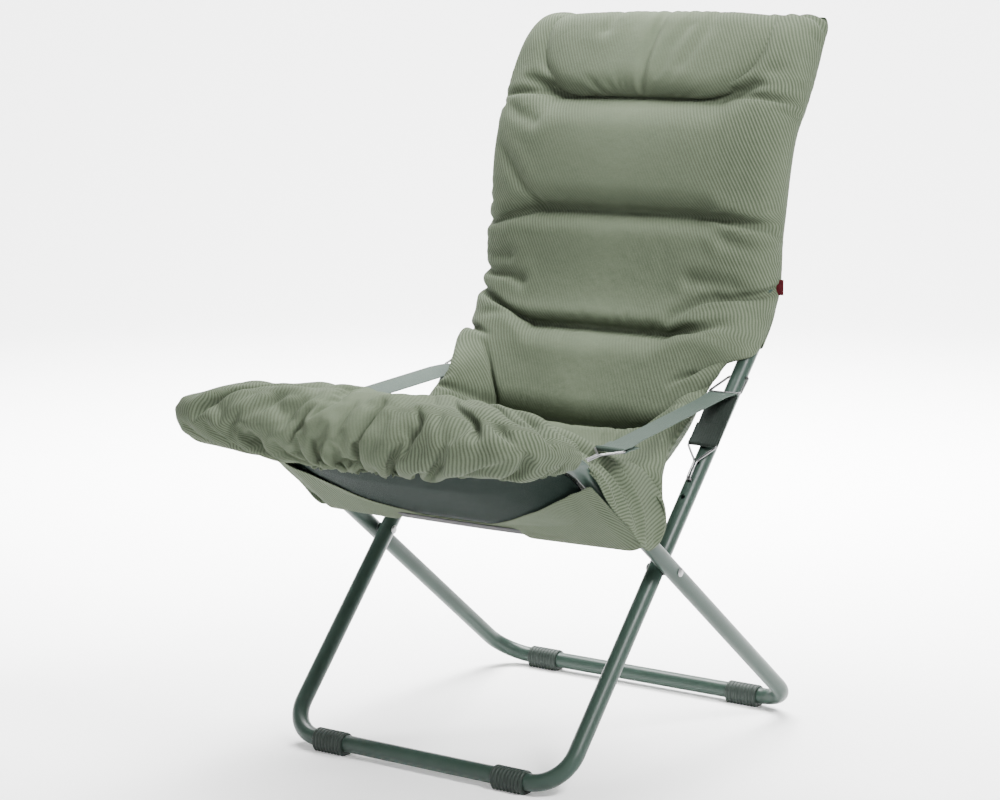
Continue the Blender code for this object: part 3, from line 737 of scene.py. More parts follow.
def creases(shape, lines, width, depth, swell):
    """Folds along polylines of (row, column) on a grid.

    The first result is how far to push the cloth out: -depth in the valleys, swell beside them. The second
    is how freely it still moves.
    """
    rows, cols = np.indices(shape)
    near = np.full(shape, 1000.0)
    for line in lines:
        for (r0, c0), (r1, c1) in zip(line, line[1:]):
            run = np.array((r1 - r0, c1 - c0), float)
            part = np.clip(((rows - r0) * run[0] + (cols - c0) * run[1]) / (run @ run), 0, 1)
            near = np.minimum(near, np.hypot(rows - r0 - run[0] * part, cols - c0 - run[1] * part))
    valley = np.exp(-(near / width) ** 2)
    beside = np.exp(-((near - 3 * width) / (1.8 * width)) ** 2)
    return swell * beside - depth * valley, 1 - 0.6 * valley


def pull(a, b, rest, wa, wb, stiff, press=False):
    """Moves two sets of points towards their rest distance; press only pushes apart those too close."""
    gap = b - a
    length = np.maximum(np.sqrt((gap * gap).sum(-1)), 1e-9)
    miss = length - rest
    if press:
        miss = np.minimum(miss, 0.0)
    move = gap * (stiff * miss / (length * np.maximum(wa + wb, 1e-9)))[..., None]
    a += move * wa[..., None]
    b -= move * wb[..., None]


DAMPING = 0.90
THREAD_STIFF = 0.9
SHEAR_STIFF = 0.3
FOLD_ROOM = 0.93    # threads two apart are pushed apart below this share of their length


def settle(start, free, push, across, along, cap, steps=60, passes=5, bend=0.25, floor=None, sag=0.0):
    """Position-based cloth: threads of a grid at their rest lengths, blown out by push metres a step.

    free is 0 where the cloth is sewn down, 1 where it moves. across and along grow the threads. cap and
    floor are how far a point may go in all and inwards, bend is the stiffness against folding, and sag is
    how far the filling's weight pulls down a step.
    """
    points = start.copy()
    speed = np.zeros_like(points)
    rest_u = np.linalg.norm(start[:, 1:] - start[:, :-1], axis=2) * across[:, :-1]
    rest_v = np.linalg.norm(start[1:] - start[:-1], axis=2) * along[:-1]
    side_u = 0.5 * (rest_u[1:] + rest_u[:-1])
    side_v = 0.5 * (rest_v[:, 1:] + rest_v[:, :-1])
    rest_d = np.sqrt(side_u ** 2 + side_v ** 2)
    far_u = (rest_u[:, 1:] + rest_u[:, :-1]) * FOLD_ROOM
    far_v = (rest_v[1:] + rest_v[:-1]) * FOLD_ROOM
    home = grid_normals(start)
    blown = np.asarray(push)[..., None]
    diagonals = ((slice(None, -1), slice(1, None)), (slice(1, None), slice(None, -1)))
    w = free
    for _ in range(steps):
        speed *= DAMPING
        before = points.copy()
        points += (speed + grid_normals(points) * blown) * w[..., None]
        points[..., 2] -= sag * w
        for _ in range(passes):
            for o in (0, 1):
                pull(points[:, o:-1:2], points[:, o + 1::2], rest_u[:, o::2],
                     w[:, o:-1:2], w[:, o + 1::2], THREAD_STIFF)
                pull(points[o:-1:2], points[o + 1::2], rest_v[o::2], w[o:-1:2], w[o + 1::2], THREAD_STIFF)
            for o in (0, 1):
                for one, two in diagonals:
                    pull(points[o:-1:2, one], points[o + 1::2, two], rest_d[o::2],
                         w[o:-1:2, one], w[o + 1::2, two], SHEAR_STIFF)
            for o in range(4):
                pull(points[:, o:-2:4], points[:, o + 2::4], far_u[:, o::4],
                     w[:, o:-2:4], w[:, o + 2::4], bend, True)
                pull(points[o:-2:4], points[o + 2::4], far_v[o::4], w[o:-2:4], w[o + 2::4], bend, True)
        away = points - start
        size = np.maximum(np.linalg.norm(away, axis=2), 1e-9)
        points = start + away * np.minimum(1.0, cap / size)[..., None]
        if floor is not None:
            depth = ((points - start) * home).sum(-1)
            points += home * (np.maximum(floor - depth, 0.0) * w)[..., None]
        speed = points - before
    return points


def world(grid):
    """From side profiles measured at the pivot to the object's own frame."""
    moved = grid.copy()
    moved[..., 1] += pivot.x
    return moved


def sheet_uv(grid):
    """UVs in metres for a grid, from its own thread lengths, with u measured from the middle column."""
    across = np.linalg.norm(np.diff(grid, axis=1), axis=2)
    u = np.concatenate((np.zeros((grid.shape[0], 1)), np.cumsum(across, axis=1)), axis=1)
    u -= u[:, grid.shape[1] // 2][:, None]
    along = np.linalg.norm(np.diff(grid, axis=0), axis=2).mean(axis=1)
    v = np.concatenate(([0.0], np.cumsum(along)))[:, None] * np.ones((1, grid.shape[1]))
    return u, v


def shell(name, front, back, material):
    """A closed piece between two grids of the same size, welded along their borders and made finer once."""
    rows, cols = front.shape[:2]
    u, v = sheet_uv(front)
    shape = bmesh.new()
    layer = shape.loops.layers.uv.new("UVMap")
    tops = [[shape.verts.new(point) for point in row] for row in front]
    unders = [[shape.verts.new(point) for point in row] for row in back]

    def face(corners, places):
        made = shape.faces.new(corners)
        for loop, (row, col) in zip(made.loops, places):
            loop[layer].uv = (u[row, col], v[row, col])

    for row in range(rows - 1):
        for col in range(cols - 1):
            places = ((row, col), (row, col + 1), (row + 1, col + 1), (row + 1, col))
            face([tops[r][c] for r, c in places], places)
            places = tuple(reversed(places))
            face([unders[r][c] for r, c in places], places)
    border = [(0, col) for col in range(cols)]
    border += [(row, cols - 1) for row in range(1, rows)]
    border += [(rows - 1, col) for col in range(cols - 2, -1, -1)]
    border += [(row, 0) for row in range(rows - 2, 0, -1)]
    for index, (r, c) in enumerate(border):
        r2, c2 = border[(index + 1) % len(border)]
        face([tops[r2][c2], tops[r][c], unders[r][c], unders[r2][c2]], ((r2, c2), (r, c), (r, c), (r2, c2)))
    mesh = mesh_of(shape, name)
    mesh.shade_smooth()
    made = add_object(name, mesh, material)
    finer = made.modifiers.new("finer", "SUBSURF")
    finer.levels = finer.render_levels = 1
    finer.uv_smooth = "PRESERVE_BOUNDARIES"
    final = evaluated_mesh(made)
    made.modifiers.clear()
    made.data = final
    final.name = name
    return made


# ---------------------------------------------------------------- cover panel, head to seat front
EDGE_X = 0.262
EDGE_OFF = -0.002
COLS = 97
ROW_STEPS = 160
HEAD = (back_end, head_dir)
MID = (back_bend_1, mid_dir)
LOW = (back_floor, back_dir)
pivot_shift = Vector((pivot.x, 0.0))


def local(point, frame_dir, along, off):
    """A (y, z) point, from the pivot, beside a frame run."""
    front = Vector((-frame_dir.y, frame_dir.x))
    return point - pivot_shift + frame_dir * along + front * off


def crowned_row(origin, run, along, crown, edge_x=EDGE_X, edge_off=EDGE_OFF, power=EDGE_POWER):
    """A row across the pocketed back: nearly flat in front, falling round the tube at both sides."""
    points = []
    for step in range(ROW_STEPS + 1):
        angle = math.pi * (step / ROW_STEPS - 0.5)
        share = math.copysign(abs(math.sin(angle)) ** 0.9, math.sin(angle))
        rise = max(0.0, 1.0 - abs(share) ** power) ** 0.5
        spot = local(origin, run, along, edge_off + (crown - edge_off) * rise)
        points.append((share * edge_x, spot.x, spot.y))
    return even(points, COLS)


def rail_row(half, other=None, cols=COLS):
    """A row through control points in mm from the middle to +X; other is the -X side where it differs."""
    points = mirrored(half)
    if other:
        points[:len(half) - 1] = [np.array(point, float) / 1000.0 for point in reversed(other)]
    return curve_through(points, cols)


# row name, row, and the cushion's thickness in mm at the places in THICK_AT
PANEL = [
    ("top_back", crowned_row(*HEAD, 0.0175, 0.001, 0.254, -0.001), (3, 3, 3, 3, 2)),
    ("top_round", crowned_row(*HEAD, 0.0140, 0.020, 0.259), (8, 8, 8, 6, 2)),
    ("top_front", crowned_row(*HEAD, 0.0, 0.033, 0.264), (22, 22, 20, 10, 2)),
    ("head_high", crowned_row(*HEAD, -0.030, 0.043, 0.266), (28, 28, 24, 12, 2)),
    ("head_low", crowned_row(*HEAD, -0.105, 0.043, 0.269), (28, 28, 24, 12, 2)),
    ("seam_1", crowned_row(*HEAD, -0.147, 0.044, 0.268), (28, 28, 24, 12, 2)),
    ("neck", crowned_row(*MID, 0.293, 0.046, 0.266), (30, 30, 26, 12, 2)),
    ("seam_2", crowned_row(*MID, 0.152, 0.047), (31, 31, 26, 12, 2)),
    ("waist", crowned_row(*MID, 0.010, 0.045), (30, 30, 26, 12, 2)),
    ("seam_3", crowned_row(*LOW, 0.733, 0.042, 0.260, 0.004), (28, 28, 24, 12, 3)),
    ("loin", rail_row([(0, 198, 553), (130, 203, 559), (200, 213, 566), (240, 226, 570)],
                      [(-130, 203, 560), (-203, 206, 568), (-246, 202, 564)]), (32, 30, 25, 14, 5)),
    ("lumbar", rail_row([(0, 181, 514), (130, 186, 521), (190, 194, 533), (221, 200, 541)],
                        [(-130, 185, 523), (-186, 174, 536), (-217, 138, 529)]), (34, 32, 26, 16, 6)),
    ("seam_4", rail_row([(0, 146, 449), (130, 152, 457), (188, 152, 474), (214, 148, 498)],
                        [(-130, 148, 460), (-184, 130, 480), (-219, 92, 499)]), (34, 32, 26, 16, 6)),
    ("belly_rear", rail_row([(0, 105, 408), (130, 106, 416), (190, 100, 440), (215, 100, 466)],
                            [(-130, 102, 420), (-190, 84, 446), (-224, 58, 470)]), (36, 34, 28, 16, 6)),
    ("belly_mid", rail_row([(0, 55, 392), (130, 55, 400), (198, 52, 424), (230, 44, 439)],
                           [(-130, 52, 402), (-202, 44, 428), (-238, 26, 444)]), (36, 34, 28, 16, 6)),
    ("seam_5", rail_row([(0, 0, 398), (130, 0, 404), (205, 2, 420), (236, 0, 417), (256, -3, 403)]),
     (36, 34, 28, 12, 4)),
    ("seat_rear",
     rail_row([(0, -50, 412), (130, -50, 418), (210, -48, 426), (250, -40, 412), (275, -32, 384),
               (288, -44, 350)]), (36, 34, 26, 6, 3)),
    ("seat_a",
     rail_row([(0, -100, 431), (130, -100, 435), (218, -98, 434), (264, -90, 412), (287, -84, 374),
               (293, -92, 331)]), (36, 34, 26, 3, 2)),
    ("seam_6",
     rail_row([(0, -160, 462), (130, -160, 465), (222, -158, 462), (268, -152, 442), (291, -146, 410),
               (295, -150, 375)]), (36, 34, 26, 3, 2)),
    ("seat_b",
     rail_row([(0, -205, 490), (130, -205, 491), (224, -203, 486), (267, -199, 471), (290, -194, 444),
               (295, -200, 416)]), (34, 32, 24, 3, 2)),
    ("seat_c",
     rail_row([(0, -232, 503), (130, -232, 503), (222, -230, 497), (262, -226, 487), (286, -218, 468),
               (293, -222, 446)]), (30, 28, 22, 3, 2)),
    ("seat_front",
     rail_row([(0, -285, 512), (130, -285, 511), (215, -280, 506), (244, -270, 502), (262, -256, 495)]),
     (10, 10, 8, 4, 3)),
]
THICK_AT = (0.0, 0.45, 0.72, 0.88, 1.0)    # shares of the half width
# seam row, and how far from the middle it is sewn
SEAMS = {"seam_1": 0.150, "seam_2": 0.150, "seam_3": 0.135, "seam_4": 0.145, "seam_5": 0.150, "seam_6": 0.150}
SEAM_END_X = 0.235     # beyond its stitches a seam holds less and less, up to here
SEAM_HOLD = 0.93
GROOVE_DEPTH = 0.0085
GROOVE_ROWS = 1.25
GROOVE_END_X = 0.250
PILLOW_X = 0.205
# folds, as polylines of (row, column) on the grid
PANEL_FOLDS = [
    [(58, 78), (59, 87), (61, 94)], [(64, 80), (65, 88), (69, 93)], [(73, 72), (73, 83), (75, 93)],
    [(88, 68), (82, 70), (76, 79), (77, 93)], [(88, 74), (85, 81), (84, 89)],
    [(38, 3), (46, 13), (56, 23)], [(30, 3), (36, 14), (38, 21)], [(60, 3), (62, 13), (60, 20)],
    [(73, 3), (70, 9), (70, 17)], [(77, 3), (82, 14), (87, 24)], [(73, 5), (74, 15), (76, 22)],
    [(7, 89), (7, 94)], [(12, 89), (12, 95)], [(18, 90), (18, 95)], [(24, 89), (25, 95)],
    [(22, 84), (21, 91)],
]

panel_rows = [row for _, row, _ in PANEL]
panel_counts = steps_between(panel_rows)
panel_base = spline_rows(panel_rows, panel_counts)
row_of = dict(zip([name for name, _, _ in PANEL], np.concatenate(([0], np.cumsum(panel_counts)))))
row_numbers = np.arange(panel_base.shape[0])
share = np.abs(np.linspace(-1, 1, COLS))
thick_rows = np.array([np.interp(share, THICK_AT, thick) for _, _, thick in PANEL]) / 1000.0
spots = [row_of[name] for name, _, _ in PANEL]
panel_thick = np.stack([np.interp(row_numbers, spots, thick_rows[:, col]) for col in range(COLS)], axis=1)

panel_x = np.abs(panel_base[..., 0])
free = loose(panel_base)
groove = np.zeros(free.shape)
for name, reach in SEAMS.items():
    row = row_of[name]
    free[row, panel_x[row] < reach] = 0.0
    free[row] = np.minimum(free[row], 1.0 - SEAM_HOLD * ramp(panel_x[row], SEAM_END_X, reach))
    near = np.exp(-((row_numbers - row) / GROOVE_ROWS) ** 2)
    groove = np.maximum(groove, near[:, None] * ramp(panel_x[row], GROOVE_END_X, reach)[None, :])
hidden = (row_numbers < row_of["seam_1"])[:, None] * ramp(panel_x, PILLOW_X, PILLOW_X - 0.02)
held = np.maximum(ramp(panel_x, 0.232, 0.202), 0.08)
panel_folds, pliant = creases(free.shape, PANEL_FOLDS, 1.1, depth=0.0065, swell=0.0022)
panel_start = pushed(panel_base, panel_folds * held * (free > 0) - groove * GROOVE_DEPTH)
free = free * pliant
blow = 0.00066 * (1 - hidden)
blow[:row_of["top_front"]] *= 0.3
blow[row_of["seat_b"]:] *= 0.5
skirt = ramp(panel_x, 0.235, 0.265)[row_of["seam_5"]:]
blow[row_of["seam_5"]:] *= 1 - 0.85 * skirt
grow = 1.072 + 0.024 * soft_noise(free.shape, 7, 5)
grow[row_of["seam_5"]:] -= 0.035 * skirt
flank = ramp(panel_x, 0.150, 0.210) * (row_numbers < row_of["seam_4"])[:, None]
gather = grow + flank * (0.050 + 0.045 * soft_noise(free.shape, 4, 61))
panel_front = settle(panel_start, free, blow, grow, gather, cap=0.028, steps=80, passes=6, bend=0.15,
                     floor=-0.003, sag=0.00010)
panel_back = pushed(panel_base, -panel_thick)
panel = shell("cover_panel", world(panel_front), world(panel_back), CLOTH)
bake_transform(panel)
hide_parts("back_pad", "lumbar_pad", "hammock_belly", "thigh_pad",
            "seat_side_sleeve_left", "seat_side_sleeve_right")


# ---------------------------------------------------------------- headrest pillow
PILLOW_COLS = 61
PILLOW_POWER = 2.6
# distance along the head run, crown, half width, edge's height, and how far its ends turn up
PILLOW = [
    (0.007, 0.029, 0.218, 0.010, 0.0), (-0.010, 0.041, 0.226, 0.022, 0.0), (-0.045, 0.050, 0.222, 0.027, 0.0),
    (-0.085, 0.053, 0.202, 0.031, 0.002), (-0.130, 0.050, 0.172, 0.035, 0.010),
    (-0.149, 0.043, 0.140, 0.036, 0.022),
]
PILLOW_FOLDS = [[(6, 44), (12, 43), (20, 41)], [(11, 32), (19, 31), (27, 33)], [(6, 20), (11, 19)],
                [(9, 39), (15, 37), (22, 36)]]

ends = ramp(np.abs(np.linspace(-1, 1, PILLOW_COLS)), 0.62, 1.0) ** 1.5
pillow_rows = []
for *sizes, lift in PILLOW:
    row = even(crowned_row(*HEAD, *sizes, PILLOW_POWER), PILLOW_COLS)
    row[:, 1:] += np.outer(lift * ends, head_dir)
    pillow_rows.append(row)
pillow_base = spline_rows(pillow_rows, steps_between(pillow_rows, 0.006))
pillow_free = loose(pillow_base)
pillow_folds, pliant = creases(pillow_free.shape, PILLOW_FOLDS, 1.1, depth=0.0050, swell=0.0018)
pillow_start = pushed(pillow_base, pillow_folds * pillow_free)
pillow_free = pillow_free * pliant
pillow_grow = 1.060 + 0.035 * soft_noise(pillow_free.shape, 6, 11)
pillow_front = settle(pillow_start, pillow_free, 0.0006, pillow_grow, pillow_grow, cap=0.022, bend=0.12,
                      sag=0.00010)
pillow_back = pushed(pillow_base, -0.012)
pillow = shell("headrest_pillow.look", world(pillow_front), world(pillow_back), CLOTH)
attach(pillow, "back_frame")
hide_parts("headrest_pillow")

# ---------------------------------------------------------------- pocket behind the back
REAR_OFF = -(TUBE_R + 0.0028)
REAR_COLS = 75
POCKET_SKIN = 0.0012


def rear_row(origin, run, along, deep=REAR_OFF, half=EDGE_X, edge_off=0.0005):
    """Flat behind the tubes, wrapped round their outer sides."""
    round_x = half - BACK_HALF
    side = []
    for step in range(13):
        angle = math.pi / 2 * step / 12
        side.append((BACK_HALF + round_x * math.cos(angle), edge_off + (deep - edge_off) * math.sin(angle)))
    side += [(0.12, deep), (0.0, deep)]
    points = [(-x, off) for x, off in side] + side[-2::-1]
    return even([(x, *local(origin, run, along, off)) for x, off in points], REAR_COLS)


rear_rows = [
    rear_row(*HEAD, 0.0175, 0.0015, 0.254, 0.0015),
    rear_row(*HEAD, 0.0162, -0.0100, 0.258, 0.0),
    rear_row(*HEAD, 0.0080, -0.0165, 0.262),
    rear_row(*HEAD, -0.030),
    rear_row(*HEAD, -0.120),
    rear_row(*MID, 0.293, -0.0180, 0.2635),
    rear_row(*MID, 0.150),
    rear_row(*MID, 0.004),
    rear_row(*LOW, 0.752),
]
rear_base = spline_rows(rear_rows, steps_between(rear_rows, 0.009))
rear_grow = 1.006 + 0.006 * soft_noise(rear_base.shape, 10, 23)
rear_skin = settle(rear_base, loose(rear_base, 6), 0.00012, rear_grow, rear_grow, cap=0.007, steps=45,
                   floor=-0.0007)
rear_inner = rear_skin + grid_normals(rear_base) * POCKET_SKIN
pocket = shell("back_pocket_rear.look", world(rear_inner), world(rear_skin), CLOTH)
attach(pocket, "back_frame")
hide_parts("back_pocket_rear")

# ---------------------------------------------------------------- seat hood
HOOD_COLS = 191
HOOD = [
    ("valley", [(0, -250, 512), (130, -250, 510), (205, -256, 503), (240, -262, 495), (262, -268, 490),
                (272, -276, 486)], None),
    ("rise", [(0, -288, 543), (130, -288, 543), (212, -285, 536), (258, -283, 522), (284, -282, 506),
              (292, -284, 497)], None),
    ("crest", [(0, -338, 553), (130, -338, 553), (226, -340, 546), (276, -330, 532), (299, -304, 512),
               (303, -290, 502)], None),
    ("brow", [(0, -400, 542), (130, -401, 542), (236, -404, 537), (291, -388, 525), (305, -338, 510),
              (307, -296, 499)], None),
    ("nose", [(0, -434, 508), (130, -434, 508), (250, -437, 510), (303, -415, 511), (310, -350, 502),
              (308, -292, 491)],
     [(-130, -434, 508), (-250, -438, 511), (-308, -417, 513), (-314, -350, 505), (-309, -292, 494)]),
    ("under", [(0, -424, 482), (130, -418, 483), (230, -398, 487), (282, -364, 487), (301, -324, 482),
               (301, -289, 477)],
     [(-130, -420, 484), (-240, -418, 489), (-298, -392, 488), (-308, -336, 485), (-303, -290, 480)]),
    ("hem", [(0, -404, 463), (100, -385, 464), (195, -338, 465), (236, -312, 467), (258, -298, 469),
             (272, -287, 472)], None),
]
hood_rows = [rail_row(half, other, HOOD_COLS) for _, half, other in HOOD]
hood_counts = steps_between(hood_rows, 0.0050)
hood_base = spline_rows(hood_rows, hood_counts)
hood_at = dict(zip([name for name, _, _ in HOOD], np.concatenate(([0], np.cumsum(hood_counts)))))
HEM_TIGHT = (84, 126)    # the columns where the elastic draws the hem in most
HEM_MIDDLE = 104
BROW_SEAM_X = 0.235
HOOD_FOLDS = [
    [(33, 43), (39, 58), (48, 66)], [(32, 67), (36, 82), (41, 90), (48, 91)],
    [(36, 83), (41, 93), (47, 100), (50, 109)], [(30, 111), (35, 109), (39, 109), (53, 107)],
    [(34, 130), (38, 125), (44, 123), (55, 122)], [(31, 150), (37, 142), (50, 137)],
    [(32, 159), (37, 164), (43, 168)], [(16, 81), (29, 91), (33, 89)], [(20, 169), (29, 173), (36, 173)],
]

last = hood_base.shape[0] - 1
hood_free = loose(hood_base)
brow = hood_at["brow"] - 1
hood_free[brow, np.abs(hood_base[brow, :, 0]) < BROW_SEAM_X] = 0.25
gathers = [0]
gaps = np.random.RandomState(4)
while gathers[-1] < HOOD_COLS - 1:
    gap = gaps.randint(2, 5) if HEM_TIGHT[0] < gathers[-1] < HEM_TIGHT[1] else gaps.randint(8, 19)
    gathers.append(min(HOOD_COLS - 1, gathers[-1] + int(gap)))
hood_free[last] = 0.15
hood_free[last, slice(*HEM_TIGHT)] = 0.8
hood_free[last, gathers] = 0.0

# the cloth is as wide all the way down as over the nose, and gathered where the hood narrows
row_length = np.linalg.norm(np.diff(hood_base, axis=1), axis=2).sum(axis=1)
fullness = np.maximum(row_length[hood_at["nose"]] * 1.05 / row_length, 1.05)
fullness[:hood_at["brow"]] = np.linspace(1.004, 1.04, hood_at["brow"])
fullness = fullness[:, None]
hood_across = fullness * (1 + 0.10 * soft_noise(hood_free.shape, 17, 31) * (fullness - 1) / 0.3)
tightly = np.exp(-((np.arange(HOOD_COLS) - HEM_MIDDLE) / 34.0) ** 2)
hood_across = 1 + (hood_across - 1) * (0.75 + 0.60 * tightly)
hood_along = 1.045 + 0.035 * soft_noise(hood_free.shape, 9, 37)
hood_push = np.full(hood_free.shape, 0.00016)
hood_push[hood_at["nose"]:] = 0.00006
cap_rows = [0] + [hood_at[name] for name in ("crest", "brow", "nose", "under")] + [last]
hood_cap = np.interp(np.arange(last + 1), cap_rows, (0.003, 0.006, 0.012, 0.016, 0.013, 0.007))[:, None]
hood_folds, pliant = creases(hood_free.shape, HOOD_FOLDS, 1.5, depth=0.0090, swell=0.0040)
rumples = 0.0045 * soft_noise(hood_free.shape, 10, 41) + 0.0018 * soft_noise(hood_free.shape, 4, 43)
hood_start = pushed(hood_base, hood_free * (hood_folds + rumples))
hood_skin = settle(hood_start, hood_free * pliant, hood_push, hood_across, hood_along, cap=hood_cap,
                   steps=110, passes=7, floor=-0.014, bend=0.05)
hood_depth = np.full(hood_free.shape, 0.007)
hood_depth[last - 2:] = 0.0016
hood_depth[:, :3] = hood_depth[:, -3:] = 0.0020
hood_under = pushed(hood_skin, -hood_depth)
hood = shell("seat_hood.look", world(hood_skin), world(hood_under), CLOTH)
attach(hood, "seat_frame")
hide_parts("seat_hood")

hem_line = [Vector(point) for point in world(hood_skin)[last]]
hem = curve_mesh("hood_elastic", hem_line, 0.0023, 3)
smooth(hem, 60.0)
add_object("hood_elastic.look", hem, CLOTH, "seat_frame", ("hood_elastic",))


# ---------------------------------------------------------------- sheets under the seat
def thin(name, grid, material, body, stands_for, thickness=0.0014):
    """A piece of one sheet, half its thickness to each side of the grid."""
    base = world(grid)
    normal = grid_normals(base) * thickness / 2
    made = shell(name, base + normal, base - normal, material)
    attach(made, body)
    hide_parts(*stands_for)
    return made


def seat_point(x, distance, off):
    spot = on_seat(distance, off) - pivot_shift
    return (x, spot.x, spot.y)


SLING_HALF = 0.258
SLING_COLS = 60
SLING_ROWS = 41
SLING_SHOWN = 0.80       # the share of its rows before it turns up out of sight
SLING_END = 0.576        # where it turns, along the seat tubes, and how far off them in the middle
SLING_END_OFF = -0.0205
SLING_SIDE_OFF = -0.0165
SLING_HANG = Vector((-0.60, -0.80))


def sling_drop(part):
    """How far the sling hangs below a straight line, a part of the way back: a soft crease and a sag."""
    crease = max(0.0, 1 - abs(part - 0.45) / 0.45) ** 1.3
    return 0.009 * crease + 0.002 * part


def sling_bow(x):
    """1 in the middle of the sling, 0 at its sides."""
    return 1 - min(1.0, abs(x / SLING_HALF)) ** 3.5


tip_top = Vector((tip_dir.y, -tip_dir.x))
sling_front = Vector((-0.391, 0.4895))
sling_edge = on_seat(SLING_END, SLING_END_OFF) - pivot_shift
sling_rear = on_seat(0.500, 0.004) - pivot_shift
side_bend = seat_bend - tip_top * 0.0145 - tip_dir * 0.01
side_corners = [sling_front, side_bend - pivot_shift, on_seat(0.600, SLING_SIDE_OFF) - pivot_shift,
                on_seat(SLING_END, SLING_SIDE_OFF) - pivot_shift, sling_rear]
side_path = fillet([at(0, point) for point in side_corners], [0, 0.10, 0.3, 0.01, 0])
side_path = even(dense(side_path, 0.002), SLING_ROWS)
sling_rows = []
for share_down, side_point in zip(np.linspace(0, 1, SLING_ROWS), side_path):
    part = min(share_down / SLING_SHOWN, 1.0)
    middle = sling_front.lerp(sling_edge, part)
    if share_down > SLING_SHOWN:
        middle = sling_edge.lerp(sling_rear, (share_down - SLING_SHOWN) / (1 - SLING_SHOWN))
    middle += SLING_HANG * sling_drop(part)
    side_spot = Vector(side_point[1:])
    sling_rows.append([(x, *side_spot.lerp(middle, sling_bow(x)))
                       for x in np.linspace(-SLING_HALF, SLING_HALF, SLING_COLS)])
sling_base = np.array(sling_rows)
sling = thin("seat_sling.look", sling_base, SLING, "seat_frame", ("seat_sling",))

UNDER_REAR = 0.553
UNDER_ROWS, UNDER_COLS = 26, 118
UNDER_X = 0.2935
BAND_W = 0.015
BAND_X = 0.284
BAND_SHOWS = (-0.120, 0.080)     # where the cloth isn't wrapped over the band
SLING_TIP = (0.8733, -0.0751)    # the sling's front end, along and off the seat tubes
# the scooped front edge, as x and the distance along the seat tubes
SCOOP = [
    (-0.290, 0.690), (-0.262, 0.664), (-0.24, 0.652), (-0.22, 0.648), (-0.20, 0.638), (-0.18, 0.610),
    (-0.16, 0.594), (-0.13, 0.582), (-0.10, 0.574), (-0.08, 0.570), (0.04, 0.570), (0.06, 0.578),
    (0.08, 0.592), (0.10, 0.606), (0.12, 0.622), (0.14, 0.638), (0.16, 0.652), (0.18, 0.664),
    (0.20, 0.678), (0.22, 0.690), (0.24, 0.698), (0.262, 0.710), (0.290, 0.726),
]


def under_sling(x, along):
    """The height off the seat tubes just below the sling."""
    part = (SLING_TIP[0] - along) / (SLING_TIP[0] - SLING_END)
    middle = SLING_TIP[1] * (1 - part) + SLING_END_OFF * part - sling_drop(part)
    return middle * sling_bow(x) + SLING_SIDE_OFF * (1 - sling_bow(x)) - 0.0025


def hang(x):
    """0 over the side tubes, 1 in the middle."""
    return math.cos(x / 0.29 * math.pi / 2)


def under_point(x, share_down):
    front = np.interp(x, *zip(*SCOOP))
    over = min(1.0, max(BAND_SHOWS[0] - x, x - BAND_SHOWS[1], 0.0) / 0.02)
    rear = UNDER_REAR + BAND_W * 0.6 * (1 - over) - 0.004 * over
    rise = max(0.0, (abs(x) - 0.268) / 0.0255)
    off = -0.0225 + 0.010 * rise ** 2 - 0.003 * hang(x)
    off -= 0.0042 * over * share_down * (1 - min(1.0, rise))
    along = front + (rear - front) * share_down
    if along > SLING_END:
        off = min(off, under_sling(x, along))
    return seat_point(x, along, off)


def band_point(x, share_down):
    off = -0.0232 - 0.004 * hang(x) + 0.006 * max(0.0, (abs(x) - 0.262) / 0.0285) ** 2
    return seat_point(x, UNDER_REAR + BAND_W * (1 - share_down), off)


def sheet_grid(point, half, rows, cols):
    return np.array([[point(x, share_down) for x in np.linspace(-half, half, cols)]
                     for share_down in np.linspace(0, 1, rows)])


under_base = sheet_grid(under_point, UNDER_X, UNDER_ROWS, UNDER_COLS)
under = thin("seat_under_panel.look", under_base, CLOTH, "seat_frame", ("seat_under_panel",))
band_base = sheet_grid(band_point, BAND_X, 4, 80)
thin("under_panel_band.look", band_base, TAPE, "seat_frame", ("under_panel_band",), 0.0016)

# ---------------------------------------------------------------- side tab
TAB_REACH = 0.010
TAB_LOOP_R = 0.0016
TAB_ROUND, TAB_DOWN = 14, 6
low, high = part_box("side_tab")
tab_y, tab_z, tab_height = (low.y + high.y) / 2, (low.z + high.z) / 2, high.z - low.z
shape = bmesh.new()
layer = shape.loops.layers.uv.new("UVMap")
columns = []
for step in range(TAB_ROUND + 1):
    angle = math.pi * (step / TAB_ROUND - 0.5)
    x = EDGE_X + EDGE_OFF + TAB_REACH * (1 - abs(math.sin(angle)) ** 3) + TAB_LOOP_R * math.cos(angle)
    y = tab_y + TAB_LOOP_R * math.sin(angle)
    columns.append([shape.verts.new((x, y, tab_z + tab_height * (down / TAB_DOWN - 0.5)))
                    for down in range(TAB_DOWN + 1)])
for col in range(TAB_ROUND):
    for row in range(TAB_DOWN):
        places = ((col, row), (col + 1, row), (col + 1, row + 1), (col, row + 1))
        face = shape.faces.new([columns[c][r] for c, r in places])
        for loop, (c, r) in zip(face.loops, places):
            loop[layer].uv = (r * 0.002, c * 0.0015)
tab_mesh = mesh_of(shape, "side_tab", outwards=False)
tab_mesh.shade_smooth()
tab = add_object("side_tab.look", tab_mesh, TAB, "back_frame", ("side_tab",))
solid = tab.modifiers.new("solid", "SOLIDIFY")
solid.thickness = 0.0008

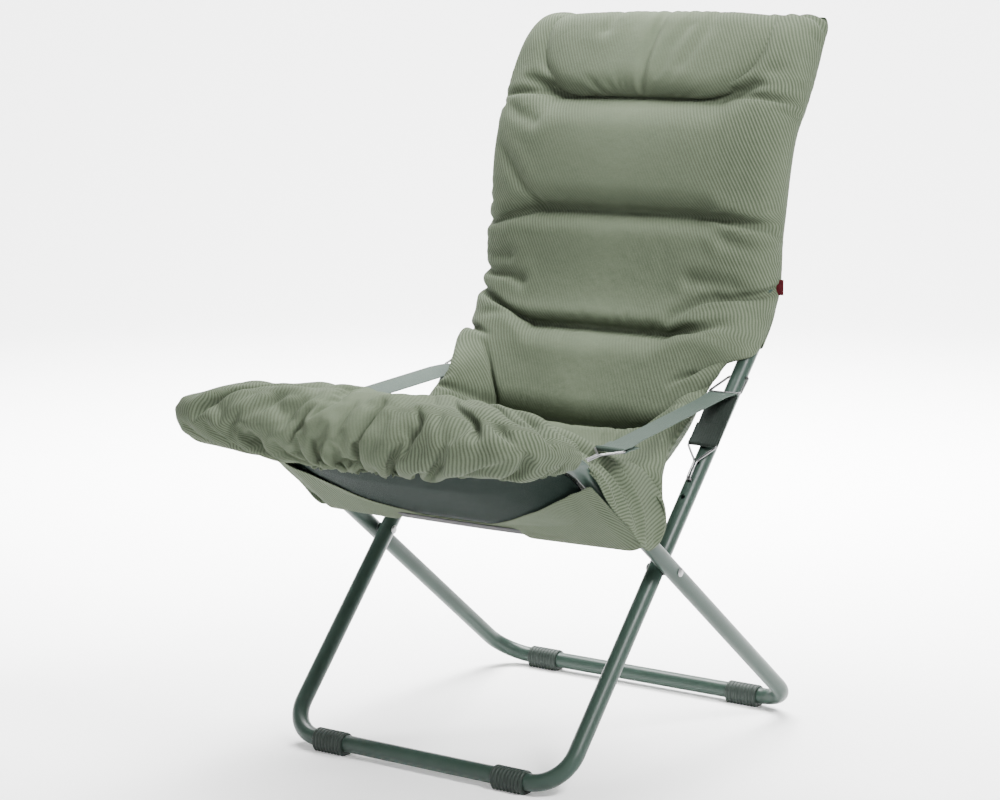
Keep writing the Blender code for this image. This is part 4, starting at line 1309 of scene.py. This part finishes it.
# ---------------------------------------------------------------- floor, lights and camera
FLOOR_R = 5.0
SWEEP_R = 3.0
FLOOR_SIDES = 96
sweep = [math.pi / 2 * step / 16 for step in range(1, 17)]
profile = [(3.0, 0.0), (FLOOR_R, 0.0)]
profile += [(FLOOR_R + SWEEP_R * math.sin(turn), SWEEP_R - SWEEP_R * math.cos(turn)) for turn in sweep]
shape = bmesh.new()
previous = None
for radius, height in profile:
    angles = [math.tau * step / FLOOR_SIDES for step in range(FLOOR_SIDES)]
    ring = [shape.verts.new((radius * math.cos(angle), radius * math.sin(angle), height)) for angle in angles]
    if previous:
        for step in range(FLOOR_SIDES):
            shape.faces.new((previous[step], previous[step - 1], ring[step - 1], ring[step]))
    else:
        shape.faces.new(ring)
    previous = ring
floor_mesh = mesh_of(shape, "studio_floor")
floor_mesh.shade_smooth()
floor_look, _, floor_shader = new_material("studio_floor", (0.95, 0.95, 0.95), 0.95)
floor_shader.inputs["Emission Color"].default_value = (1.0, 1.0, 1.0, 1.0)
floor_shader.inputs["Emission Strength"].default_value = 0.14
floor_piece = add_object("studio_floor", floor_mesh, floor_look)
floor_piece.location.z = -0.0005

sky = bpy.data.worlds.new("studio")
sky.use_nodes = True
glow = sky.node_tree.nodes["Background"]
glow.inputs["Color"].default_value = (1.0, 1.0, 1.0, 1.0)
glow.inputs["Strength"].default_value = 0.36
bpy.context.scene.world = sky


def add_holder(name, data, place, target):
    """A light or camera at a place, turned to a target."""
    holder = link_in(name, data)
    holder.location = place
    holder.rotation_euler = (Vector(target) - Vector(place)).to_track_quat("-Z", "Y").to_euler()
    return holder


# name, place, target, side in metres and power in watts
LIGHTS = [
    ("key", (2.5, -0.7, 2.7), (0.0, 0.0, 0.55), 1.0, 240),
    ("top", (-0.3, 0.3, 3.2), (0.0, 0.0, 0.5), 1.4, 170),
    ("fill", (-0.4, -3.4, 1.9), (0.0, 0.0, 0.5), 1.5, 22),
    ("backdrop", (-1.0, 1.7, 3.0), (-2.6, 4.0, 0.0), 2.5, 1500),
]
for name, place, target, size, power in LIGHTS:
    lamp = bpy.data.lights.new(name, "AREA")
    lamp.size = size
    lamp.energy = power
    add_holder(name, lamp, place, target)

CAMERA_PLACE = (2.209, -3.0983, 1.085)
CAMERA_TARGET = (-0.031, -0.01126, 0.503)
lens = bpy.data.cameras.new("photo_camera")
lens.lens = 94.02
lens.sensor_width = 36.0
bpy.context.scene.camera = add_holder("photo_camera", lens, CAMERA_PLACE, CAMERA_TARGET)
